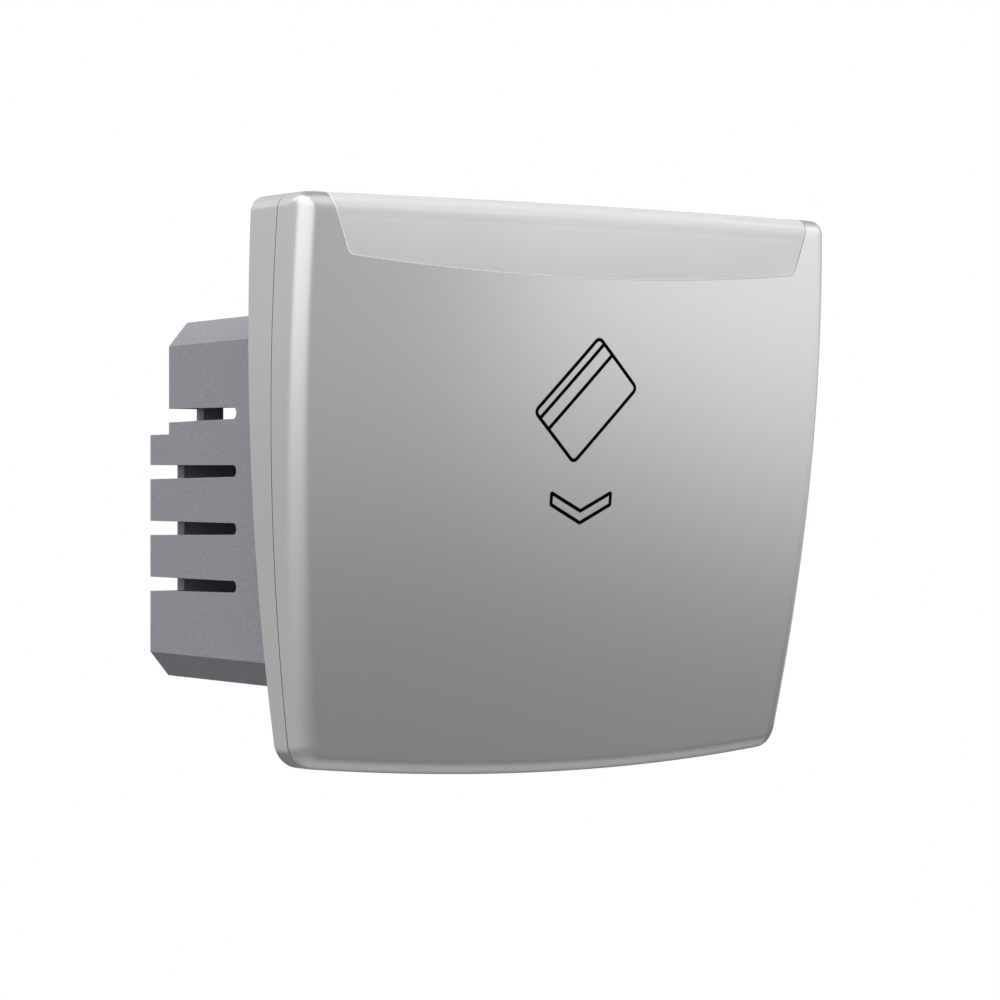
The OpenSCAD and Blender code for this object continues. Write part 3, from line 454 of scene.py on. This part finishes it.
def build_lens():
    grow = -WINDOW_GAP - LENS_EDGE
    end, tongue, mouth = win_over(0, grow), TONGUE_X - LENS_EDGE, MOUTH_X + LENS_EDGE
    part = -parting(COVER_TOP) - PART_GAP - LENS_EDGE
    mouth_front, mouth_rear = MOUTH_Y[0] - LENS_EDGE, MOUTH_Y[1] + LENS_EDGE
    half = sorted({*np.linspace(0, mouth, MOUTH_STEPS), *np.linspace(mouth, tongue, TONGUE_STEPS),
                   *np.linspace(tongue, end, END_STEPS)})
    across = half[::-1] + [-x for x in half[1:]]
    levels = [TONGUE_Y - LENS_EDGE, mouth_rear, REAR_ROW_Y, part, FRONT_ROW_Y, mouth_front]
    rows = [[(x, y, top_at(x)) for x in across] for y in levels]
    for turn in FILLET_TURNS:
        top = ROUND_TOP * (1 - math.cos(turn))
        row = []
        for top_x in across:
            play = RIGHT_PLAY if top_x > tongue else 0.0
            x, z = top_x * win_over(top, grow - play) / end, top_at(top_x) - top
            row.append((x, -rounded_depth(x, z, ROUND_TOP, turn, LENS_LIFT), z))
        rows.append(row)

    def left_open(a, b):
        """True beside the tongue, which lies behind the parting line, and within the card mouth."""
        middle, y = abs(a[0] + b[0]) / 2, a[1]
        return (y > part and middle > tongue) or (mouth_rear >= y > mouth_front and middle < mouth)

    faces = row_faces(rows, skip=left_open)
    verts, faces = used_only(*front_sheet(rows, faces, lens_outline(grow), LENS_LIFT))
    obj = make_object("lens_skin", *thick_sheet(verts, faces, LENS_WALL, LENS_EDGE))
    for mat in (LENS, LENS_RIM_PAINTED_HIGHLIGHT, LENS_LOW_RIM_GLOW):
        obj.data.materials.append(mat)
    # Rim faces take the lighter copy of the window's material, a painted highlight
    for poly in obj.data.polygons[2 * len(faces):]:
        # Downward-facing rim faces low on the window take the glowing copy, painted light
        low = poly.normal.z < GLOW_RIM_TILT and poly.center.z < GLOW_RIM_Z * MM
        poly.material_index = 2 if low else 1
    return obj


# Rear frame
NOTCH_X, NOTCH_Y, NOTCH_Z = 38.6, -2.8, 38.0     # half width, foot and least height of the window's notch
NOTCH_STEPS = 17
WEB_Y, WEB_EDGE = (-2.2, -1.0), 0.1              # front and rear of the web, and the rounding of its edges
WEB_INSET = 0.2                                  # the web ends this far inside the middle of the rim's wall
WEB_PITCH, WEB_MARGIN = 5.0, 2.0
PASSAGE_X, PASSAGE_Z = 28.0, 18.0                # half width and half height of the passage
# Holes of the web on both sides of its middle: X, Z and radius for the box, housing and tray screws
WEB_HOLES = ((0.0, 30.15, 2.1), (33.35, 20.5, 1.55), (33.5, 0.0, 1.15))
CIRCLE_SIDES = 24


def circle(x, z, radius):
    turns = [2 * math.pi * k / CIRCLE_SIDES for k in range(CIRCLE_SIDES)]
    return [(x + radius * math.cos(t), z + radius * math.sin(t)) for t in turns]


def frame_rim(outline):
    """Rim from the wall to the parting line, open at the top where the window's tongue lies."""
    rear, notch = -COVER_EDGE, NOTCH_Y + COVER_EDGE
    levels = []
    for _, z, _ in outline:
        front = -parting(z) + PART_GAP + COVER_EDGE
        levels.append((rear, (rear + notch) / 2, notch, notch + (front - notch) / 3,
                       notch + (front - notch) * 2 / 3, front))
    rows = [[(x, y, z) for (x, z, _), y in zip(outline, level)] for level in zip(*levels)]

    def in_notch(a, b):
        return a[1] <= notch and a[2] > NOTCH_Z and abs(a[0] + b[0]) / 2 < NOTCH_X + COVER_EDGE

    verts, faces = used_only([p for row in rows for p in row], row_faces(rows, closed=True, skip=in_notch))
    return thick_sheet(verts, faces, RIM_WALL, COVER_EDGE)


def frame_web(outline):
    """Web behind the card tray, with its passage and screw holes."""
    shrink = (COVER_W / 2 - RIM_WALL / 2 - WEB_INSET) / (COVER_W / 2)
    passage = [(-PASSAGE_X, -PASSAGE_Z), (PASSAGE_X, -PASSAGE_Z),
               (PASSAGE_X, PASSAGE_Z), (-PASSAGE_X, PASSAGE_Z)]
    loops = [[(x * shrink, z * shrink) for x, z, _ in outline], passage]
    for hole_x, hole_z, radius in WEB_HOLES:
        for x in sorted({-hole_x, hole_x}):
            for z in sorted({-hole_z, hole_z}):
                loops.append(circle(x, z, radius + WEB_EDGE))
    grid, tris = fill(loops, WEB_PITCH, WEB_MARGIN)
    points = [p for loop in loops for p in loop] + list(grid)
    return thick_sheet([(x, WEB_Y[0], z) for x, z in points], tris, WEB_Y[1] - WEB_Y[0], WEB_EDGE)


def build_frame():
    right = ring_right(0)
    for x in np.linspace(NOTCH_X + COVER_EDGE, 0, NOTCH_STEPS):
        right.append((x, top_at(x), ROUND_TOP))
    outline = right[:-1] + mirrored(right)[:-1]
    rim_verts, rim_faces, rim_normals = frame_rim(outline)
    web_verts, web_faces, web_normals = frame_web(outline)
    faces = rim_faces + [tuple(len(rim_verts) + i for i in face) for face in web_faces]
    return make_object("frame_skin", np.vstack([rim_verts, web_verts]), faces, rim_normals + web_normals)


# Pictogram, printed on the front: a card that stands on its corner, with two stripes, over a chevron
INK_W, INK_T, INK_EDGE = 0.51, 0.012, 0.004
INK_PITCH, INK_CORNER_STEPS = 0.5, 6
CORNER_REACH = 2.2     # a rounded corner takes at most one part in this of each side
CARD_CENTRE, CARD_L, CARD_W, CARD_TURN = np.array([0.21, 13.8]), 14.68, 9.76, math.radians(45)
CARD_CORNER_R, CARD_STRIPES = 0.85, (1.26, 3.35)
CHEVRON_R = 0.12
CHEVRON = ((-4.95, 0.97), (0.1, -1.51), (5.2, 1.0), (5.2, -0.64), (0.1, -3.16), (-4.95, -0.64))


def rounded(points, radius):
    """Closed line with its corners rounded to the radius."""
    points = [np.asarray(p, float) for p in points]
    made = []
    for i, p in enumerate(points):
        a, b = points[i - 1], points[(i + 1) % len(points)]
        before, after = np.linalg.norm(a - p), np.linalg.norm(b - p)
        u, v = (a - p) / before, (b - p) / after
        half = math.acos(max(-1, min(1, float(np.dot(u, v))))) / 2
        cut = min(radius / math.tan(half), before / CORNER_REACH, after / CORNER_REACH)
        for k in range(INK_CORNER_STEPS + 1):
            t = k / INK_CORNER_STEPS
            made.append((1 - t) ** 2 * (p + u * cut) + 2 * t * (1 - t) * p + t * t * (p + v * cut))
    return made


def dense_path(points, closed):
    made = []
    n = len(points)
    for i in range(n if closed else n - 1):
        a, b = points[i], points[(i + 1) % n]
        steps = max(1, int(np.linalg.norm(b - a) / INK_PITCH))
        made += [a + (b - a) * k / steps for k in range(steps)]
    return made if closed else made + [points[-1]]


def stroke(points, closed):
    """Ribbon of ink that follows the front's curve."""
    path = dense_path(points, closed)
    n = len(path)
    verts, faces = [], []
    for i, p in enumerate(path):
        before = path[i - 1] if closed or i else p
        after = path[(i + 1) % n] if closed or i < n - 1 else p
        along = (after - before) / np.linalg.norm(after - before)
        side = np.array([-along[1], along[0]]) * INK_W / 2
        for x, z in (p + side, p - side):
            verts.append((x, -front_at(x, z) - INK_T, z))
    for i in range(n if closed else n - 1):
        j = (i + 1) % n
        faces.append((2 * i, 2 * i + 1, 2 * j + 1, 2 * j))
    return thick_sheet(verts, faces, 2 * INK_T, INK_EDGE, steps=1)


def card_point(along, across):
    u = np.array([math.cos(CARD_TURN), math.sin(CARD_TURN)])
    v = np.array([-math.sin(CARD_TURN), math.cos(CARD_TURN)])
    return CARD_CENTRE + u * along + v * across


def build_pictogram():
    end, side = CARD_L / 2, CARD_W / 2
    corners = [card_point(u, v) for u, v in ((-end, -side), (end, -side), (end, side), (-end, side))]
    lines = [(rounded(corners, CARD_CORNER_R), True)]
    for drop in CARD_STRIPES:
        lines.append(([card_point(-end, side - drop), card_point(end, side - drop)], False))
    lines.append((rounded(CHEVRON, CHEVRON_R), True))
    verts, faces = [], []
    for points, closed in lines:
        line_verts, line_faces, _ = stroke(points, closed)
        faces += [tuple(i + len(verts) for i in face) for face in line_faces]
        verts += list(line_verts)
    return make_object("card_pictogram", verts, faces)


# Materials
TINT_STOPS, TINT_DETAIL = (0.3, 0.7), 3.0        # where the noise gives the dark and the light tint
ROUGH_SCALE = 0.37                               # scale of the roughness noise, as a share of the tint's
GRAIN_DETAIL, GRAIN_DEPTH = 2.0, 0.0001


def set_sockets(node, values):
    """Sets input sockets by name, with _ for a space."""
    for socket, value in values.items():
        node.inputs[socket.replace("_", " ")].default_value = value


def add_node(tree, kind, **values):
    node = tree.nodes.new(kind)
    set_sockets(node, values)
    return node


def noise_at(tree, coord, scale, **values):
    noise = add_node(tree, "ShaderNodeTexNoise", Scale=scale, **values)
    tree.links.new(coord, noise.inputs["Vector"])
    return noise.outputs["Fac"]


def shade(color, share):
    return [min(1, c * share) for c in color] + [1]


def tint_by_noise(tree, coord, color, tint, scale):
    """Colour that wanders up and down by the tint."""
    ramp = tree.nodes.new("ShaderNodeValToRGB")
    for stop, place, share in zip(ramp.color_ramp.elements, TINT_STOPS, (1 - tint, 1 + tint)):
        stop.position = place
        stop.color = shade(color, share)
    tree.links.new(noise_at(tree, coord, scale, Detail=TINT_DETAIL), ramp.inputs["Fac"])
    return ramp.outputs["Color"]


def tint_by_height(tree, coord, color, bands):
    """Colour that changes with the height. Bands are heights in millimetres and shares of the colour."""
    low, high = bands[0][0], bands[-1][0]
    split = tree.nodes.new("ShaderNodeSeparateXYZ")
    tree.links.new(coord, split.inputs["Vector"])
    height = add_node(tree, "ShaderNodeMapRange", From_Min=low * MM, From_Max=high * MM)
    tree.links.new(split.outputs["Z"], height.inputs["Value"])
    ramp = tree.nodes.new("ShaderNodeValToRGB")
    stops = ramp.color_ramp.elements
    for z, _ in bands[1:-1]:
        stops.new((z - low) / (high - low))
    for stop, (_, share) in zip(stops, bands):
        stop.color = shade(color, share)
    tree.links.new(height.outputs["Result"], ramp.inputs["Fac"])
    return ramp.outputs["Color"]


def material(name, color, rough, metallic, tint_scale, tint=0.0, rough_var=0.04, grain=0.0,
             grain_scale=4000.0, bands=None, **sockets):
    """Principled material whose colour, roughness and grain come from noise in object space, or its colour
    from bands of height. Other keywords are sockets of the shader."""
    mat = bpy.data.materials.new(name)
    mat.use_nodes = True
    tree = mat.node_tree
    shader = tree.nodes["Principled BSDF"]
    coord = tree.nodes.new("ShaderNodeTexCoord").outputs["Object"]
    if bands:
        base = tint_by_height(tree, coord, color, bands)
    else:
        base = tint_by_noise(tree, coord, color, tint, tint_scale)
    tree.links.new(base, shader.inputs["Base Color"])
    spread = add_node(tree, "ShaderNodeMapRange", To_Min=rough - rough_var, To_Max=rough + rough_var)
    tree.links.new(noise_at(tree, coord, tint_scale * ROUGH_SCALE), spread.inputs["Value"])
    tree.links.new(spread.outputs["Result"], shader.inputs["Roughness"])
    if grain:
        bump = add_node(tree, "ShaderNodeBump", Strength=grain, Distance=GRAIN_DEPTH)
        tree.links.new(noise_at(tree, coord, grain_scale, Detail=GRAIN_DETAIL), bump.inputs["Height"])
        tree.links.new(bump.outputs["Normal"], shader.inputs["Normal"])
    shader.inputs["Metallic"].default_value = metallic
    set_sockets(shader, sockets)
    return mat


# Painted light on the window: its colour grows lighter upwards, with painted highlights and painted dark
# lines where it bends and a painted dark line near the top, standing in for reflection and refraction
LENS_PAINTED_LIGHT_BANDS = ((29.5, 0.97), (32.2, 0.995), (34.5, 1.02), (36.4, 1.045), (36.9, 1.055),
              (37.2, 1.085), (37.55, 1.02), (37.8, 1.02), (38.1, 1.04), (38.4, 0.985), (38.75, 1.03),
              (39.2, 0.98), (39.6, 0.99), (39.85, 0.98), (40.2, 0.93), (40.42, 0.91),
              (40.53, 0.72), (40.6, 0.72), (40.66, 0.95), (40.7, 0.96))

SILVER = material("silver_paint_m", (0.3905, 0.382, 0.385), 0.29, 0.88, 5200.0, tint=0.025, rough_var=0.02,
                  grain=0.03, grain_scale=9000.0, Specular_Tint=(0.75, 0.75, 0.75, 1.0))
LENS = material("lens_plastic_m", (0.908, 0.898, 0.902), 0.15, 0.0, 60.0, rough_var=0.02, bands=LENS_PAINTED_LIGHT_BANDS,
                Transmission_Weight=0.28, IOR=1.49)
# The window's rim takes a lighter copy of its plastic without transmission, a painted highlight standing in
# for light at its edge
LENS_RIM_PAINTED_HIGHLIGHT = material("lens_rim_painted_highlight_m", (0.92, 0.905, 0.91), 0.2, 0.0, 300.0, tint=0.01, IOR=1.49)
# The rim's low part also glows by emission though it is no lamp, painted light that makes a bright line
LENS_LOW_RIM_GLOW = material("lens_low_rim_glow_m", (0.97, 0.955, 0.96), 0.2, 0.0, 300.0, tint=0.01, IOR=1.49,
                        Emission_Color=(1.0, 0.985, 0.99, 1.0), Emission_Strength=0.2)
BODY = material("grey_body_m", (0.294, 0.298, 0.329), 0.62, 0.0, 3300.0, tint=0.13, rough_var=0.06,
                grain=0.3, grain_scale=4200.0, Specular_IOR_Level=0.25)
INK = material("black_ink_m", (0.0012, 0.0012, 0.0012), 0.7, 0.0, 3000.0, tint=0.2, Specular_IOR_Level=0.01)
STEEL = material("steel_m", (0.60, 0.61, 0.63), 0.34, 1.0, 260.0, tint=0.06, rough_var=0.10, grain=0.05)
SCREW = material("screw_steel_m", (0.46, 0.47, 0.49), 0.30, 1.0, 900.0, tint=0.08, rough_var=0.08)
WHITE = material("white_plastic_m", (0.80, 0.80, 0.78), 0.45, 0.0, 500.0, tint=0.02, grain=0.10)
BLACK = material("black_plastic_m", (0.022, 0.022, 0.024), 0.48, 0.0, 1500.0, tint=0.2, grain=0.18)
RED = material("red_plastic_m", (0.50, 0.045, 0.035), 0.35, 0.0, 1200.0, tint=0.06, grain=0.05)
SPRING = material("spring_steel_m", (0.68, 0.68, 0.70), 0.22, 1.0, 2500.0, tint=0.05, rough_var=0.06)
GREEN = material("board_green_m", (0.018, 0.13, 0.055), 0.38, 0.0, 420.0, tint=0.22, grain=0.10,
                 grain_scale=1500.0)
BOARD_WHITE = material("board_white_m", (0.84, 0.84, 0.81), 0.40, 0.0, 600.0, tint=0.03, grain=0.06)
LED = material("led_white_m", (0.90, 0.86, 0.55), 0.28, 0.0, 900.0, tint=0.05)
TIN = material("tin_m", (0.72, 0.71, 0.68), 0.28, 1.0, 2200.0, tint=0.06, rough_var=0.08)
BRASS = material("brass_m", (0.70, 0.50, 0.18), 0.30, 1.0, 900.0, tint=0.07, rough_var=0.08)
RELAY = material("relay_blue_m", (0.035, 0.11, 0.34), 0.34, 0.0, 800.0, tint=0.06, grain=0.06)
FILM = material("film_yellow_m", (0.70, 0.45, 0.06), 0.38, 0.0, 700.0, tint=0.05, grain=0.08)
CAN = material("can_sleeve_m", (0.02, 0.024, 0.075), 0.32, 0.0, 500.0, tint=0.10)
DISC = material("varistor_blue_m", (0.05, 0.15, 0.42), 0.36, 0.0, 900.0, tint=0.08, grain=0.12)
RESISTOR = material("resistor_green_m", (0.22, 0.33, 0.24), 0.55, 0.0, 1500.0, tint=0.10, grain=0.15)

NODE_MATERIAL = {
    "front_cover": SILVER, "light_lens": LENS, "rear_frame": SILVER, "housing": BODY,
    "mounting_plate": STEEL, "card_tray": WHITE, "card_lever": WHITE, "lever_pin": SPRING,
    "lever_spring": SPRING,
    "housing_screws": SCREW, "tray_screws": SCREW, "board_screws": SCREW, "terminal_screws": SCREW,
    "microswitch_case": BLACK, "microswitch_plunger": RED, "microswitch_pins": TIN,
    "led_board": BOARD_WHITE, "leds": LED, "led_link_pins": TIN,
    "main_board": GREEN, "relay_case": RELAY, "relay_pins": TIN,
    "terminal_block": BLACK, "terminal_cages": BRASS,
    "film_capacitor": FILM, "smoothing_capacitor": CAN, "bridge_rectifier": BLACK, "varistor": DISC,
    "fuse_resistor": RESISTOR, "driver_transistor": BLACK, "control_chip": BLACK, "chip_resistors": BLACK}

# Rounding of moulded and pressed edges in millimetres, and the angles in degrees of a flat and of an edge
EDGE = {"housing": 0.3, "card_tray": 0.12, "relay_case": 0.4, "film_capacitor": 0.6, "terminal_block": 0.2,
        "microswitch_case": 0.2, "mounting_plate": 0.12, "card_lever": 0.12, "bridge_rectifier": 0.12,
        "control_chip": 0.08, "main_board": 0.08, "led_board": 0.06, "leds": 0.1, "housing_screws": 0.12,
        "tray_screws": 0.1, "board_screws": 0.1, "terminal_screws": 0.1, "terminal_cages": 0.12}
FLAT_ANGLE, EDGE_ANGLE = 0.6, 32
EDGE_STEPS, WELD_LENGTH = 2, 1e-6


def finish_node(name):
    """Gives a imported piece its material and, where it has moulded or pressed edges, a small rounding."""
    obj = NODES[name]
    obj.data.materials.clear()
    obj.data.materials.append(NODE_MATERIAL[name])
    if name in EDGE:
        weld = obj.modifiers.new("weld", "WELD")
        weld.merge_threshold = WELD_LENGTH
        flat = obj.modifiers.new("flat", "DECIMATE")
        flat.decimate_type = "DISSOLVE"
        flat.angle_limit = math.radians(FLAT_ANGLE)
        bevel = obj.modifiers.new("edge", "BEVEL")
        bevel.width = EDGE[name] * MM
        bevel.segments = EDGE_STEPS
        bevel.limit_method = "ANGLE"
        bevel.angle_limit = math.radians(EDGE_ANGLE)
        bevel.use_clamp_overlap = True
        bevel.harden_normals = False


for node_name in NODES:
    finish_node(node_name)

PIECES = [
    (build_cover(), "front_cover", SILVER, "silver_paint"),
    (build_lens(), "light_lens", LENS, "lens_plastic"),
    (build_frame(), "rear_frame", SILVER, "silver_paint"),
    (build_pictogram(), None, INK, "black_plastic"),
]
for piece, node_name, mat, slot_name in PIECES:
    if not piece.data.materials:
        piece.data.materials.append(mat)
    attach(piece, "base")
    if node_name:
        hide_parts(node_name)

# Torsion spring: a copy of the imported spring's mesh, which stands in place of the hidden original
spring = bpy.data.objects.new("spring_skin", NODES["lever_spring"].data.copy())
bpy.context.scene.collection.objects.link(spring)
spring.matrix_world = NODES["lever_spring"].matrix_world
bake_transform(spring)
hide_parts("lever_spring")

# Floor, a disc in millimetres
FLOOR_R, FLOOR_AT, FLOOR_SIDES = 900.0, (545.0, -220.0, -210.0), 96
FLOOR_GREY = (0.37, 0.37, 0.37)


def build_floor():
    turns = [2 * math.pi * k / FLOOR_SIDES for k in range(FLOOR_SIDES)]
    verts = [(0, 0, 0)] + [(FLOOR_R * math.cos(t), FLOOR_R * math.sin(t), 0) for t in turns]
    faces = [(0, 1 + k, 1 + (k + 1) % FLOOR_SIDES) for k in range(FLOOR_SIDES)]
    obj = make_object("studio_floor", np.array(verts, float) + np.array(FLOOR_AT), faces)
    obj.data.materials.append(material("floor_m", FLOOR_GREY, 0.7, 0.0, 6.0, tint=0.01))
    obj.visible_diffuse = False


# World: white where the camera, a reflection or a ray through the window looks, and a faint light all round
SOFT_STRENGTH, WHITE_STRENGTH = 0.12, 1.0


def build_world():
    world = bpy.data.worlds.new("studio")
    bpy.context.scene.world = world
    world.use_nodes = True
    tree = world.node_tree
    tree.nodes.clear()
    out = tree.nodes.new("ShaderNodeOutputWorld")
    soft = add_node(tree, "ShaderNodeBackground", Color=(1, 1, 1, 1), Strength=SOFT_STRENGTH)
    white = add_node(tree, "ShaderNodeBackground", Color=(1, 1, 1, 1), Strength=WHITE_STRENGTH)
    path = tree.nodes.new("ShaderNodeLightPath")
    seen = path.outputs["Is Camera Ray"]
    for ray in ("Is Glossy Ray", "Is Transmission Ray"):
        either = tree.nodes.new("ShaderNodeMath")
        either.operation = "MAXIMUM"
        tree.links.new(seen, either.inputs[0])
        tree.links.new(path.outputs[ray], either.inputs[1])
        seen = either.outputs[0]
    mix = tree.nodes.new("ShaderNodeMixShader")
    tree.links.new(seen, mix.inputs["Fac"])
    tree.links.new(soft.outputs[0], mix.inputs[1])
    tree.links.new(white.outputs[0], mix.inputs[2])
    tree.links.new(mix.outputs[0], out.inputs["Surface"])


# Lamps. A softbox has its azimuth from the front to the right, elevation, distance in metres, width and
# height as seen from the part, radiance, colour and roll, with every angle in degrees
WARM, PLAIN = (1.0, 0.985, 0.992), (1.0, 1.0, 1.0)
SOFTBOXES = (
    ("key_right", 50, 19.5, 1.6, 44, 46, 1.34, WARM, 5),
    ("key_far", 88, 19.5, 1.6, 32, 46, 1.0, WARM, 0),
    ("key_low", 60, -5.5, 1.6, 28, 5.5, 0.65, WARM, 0),
    ("soft_left", -49, 19.5, 1.1, 68, 42, 1.75, PLAIN, 0),
    ("low_left", -49, -7, 1.1, 68, 10, 0.45, PLAIN, 0),
    ("rear_left", -125, 24, 1.2, 70, 46, 0.3, PLAIN, 0),
    ("top_left", -95, 55, 1.0, 50, 40, 1.4, PLAIN, 0),
    ("top_front", 20, 62, 1.1, 80, 40, 0.85, PLAIN, 0),
    ("corner_left", -64, 54, 1.05, 36, 26, 1.5, PLAIN, 0),
    ("rear_top", -165, 38, 1.2, 60, 40, 0.6, PLAIN, 0),
)
# A low lamp that brightens the floor under the part, in metres and watts
POOL_AT, POOL_AIM = (0.07, 0.0, -0.13), (0.07, 0.0, -0.21)
POOL_W, POOL_D, POOL_POWER = 0.48, 0.25, 0.74


def area(name, place, target, wide, tall, power):
    data = bpy.data.lights.new(name, "AREA")
    data.shape = "RECTANGLE"
    data.size = wide
    data.size_y = tall
    data.energy = power
    obj = bpy.data.objects.new(name, data)
    bpy.context.scene.collection.objects.link(obj)
    obj.location = place
    obj.visible_camera = False
    obj.rotation_mode = "QUATERNION"
    obj.rotation_quaternion = (Vector(target) - Vector(place)).to_track_quat("-Z", "Y")
    return obj


def softbox(name, azimuth, elevation, distance, wide, tall, radiance, color, roll):
    """Area lamp that faces the part and looks this wide, tall and bright from there."""
    a, e = math.radians(azimuth), math.radians(elevation)
    level = distance * math.cos(e)
    place = (level * math.sin(a), -level * math.cos(a), distance * math.sin(e))
    width = 2 * distance * math.tan(math.radians(wide) / 2)
    height = 2 * distance * math.tan(math.radians(tall) / 2)
    lamp = area(name, place, (0, 0, 0), width, height, radiance * math.pi * width * height)
    lamp.data.color = color
    lamp.rotation_quaternion = lamp.rotation_quaternion @ Quaternion((0, 0, 1), math.radians(roll))


# Camera: level, turned from the part's depth axis, with its place in metres and its lens in millimetres
VIEW = math.radians(35.49)
CAMERA_AT = (-0.29510, -0.40725, 0.0)
CAMERA_LENS, SENSOR_W = 128.45, 36.0
CLIP_NEAR, CLIP_FAR = 0.01, 20.0


def build_camera():
    data = bpy.data.cameras.new("camera")
    data.lens = CAMERA_LENS
    data.sensor_width = SENSOR_W
    data.clip_start, data.clip_end = CLIP_NEAR, CLIP_FAR
    camera = bpy.data.objects.new("camera", data)
    bpy.context.scene.collection.objects.link(camera)
    camera.location = CAMERA_AT
    camera.rotation_mode = "QUATERNION"
    camera.rotation_quaternion = Vector((math.sin(VIEW), math.cos(VIEW), 0)).to_track_quat("-Z", "Y")
    bpy.context.scene.camera = camera


build_world()
build_floor()
for box in SOFTBOXES:
    softbox(*box)
area("floor_pool", POOL_AT, POOL_AIM, POOL_W, POOL_D, POOL_POWER)
build_camera()
bpy.context.scene.view_settings.view_transform = "Standard"
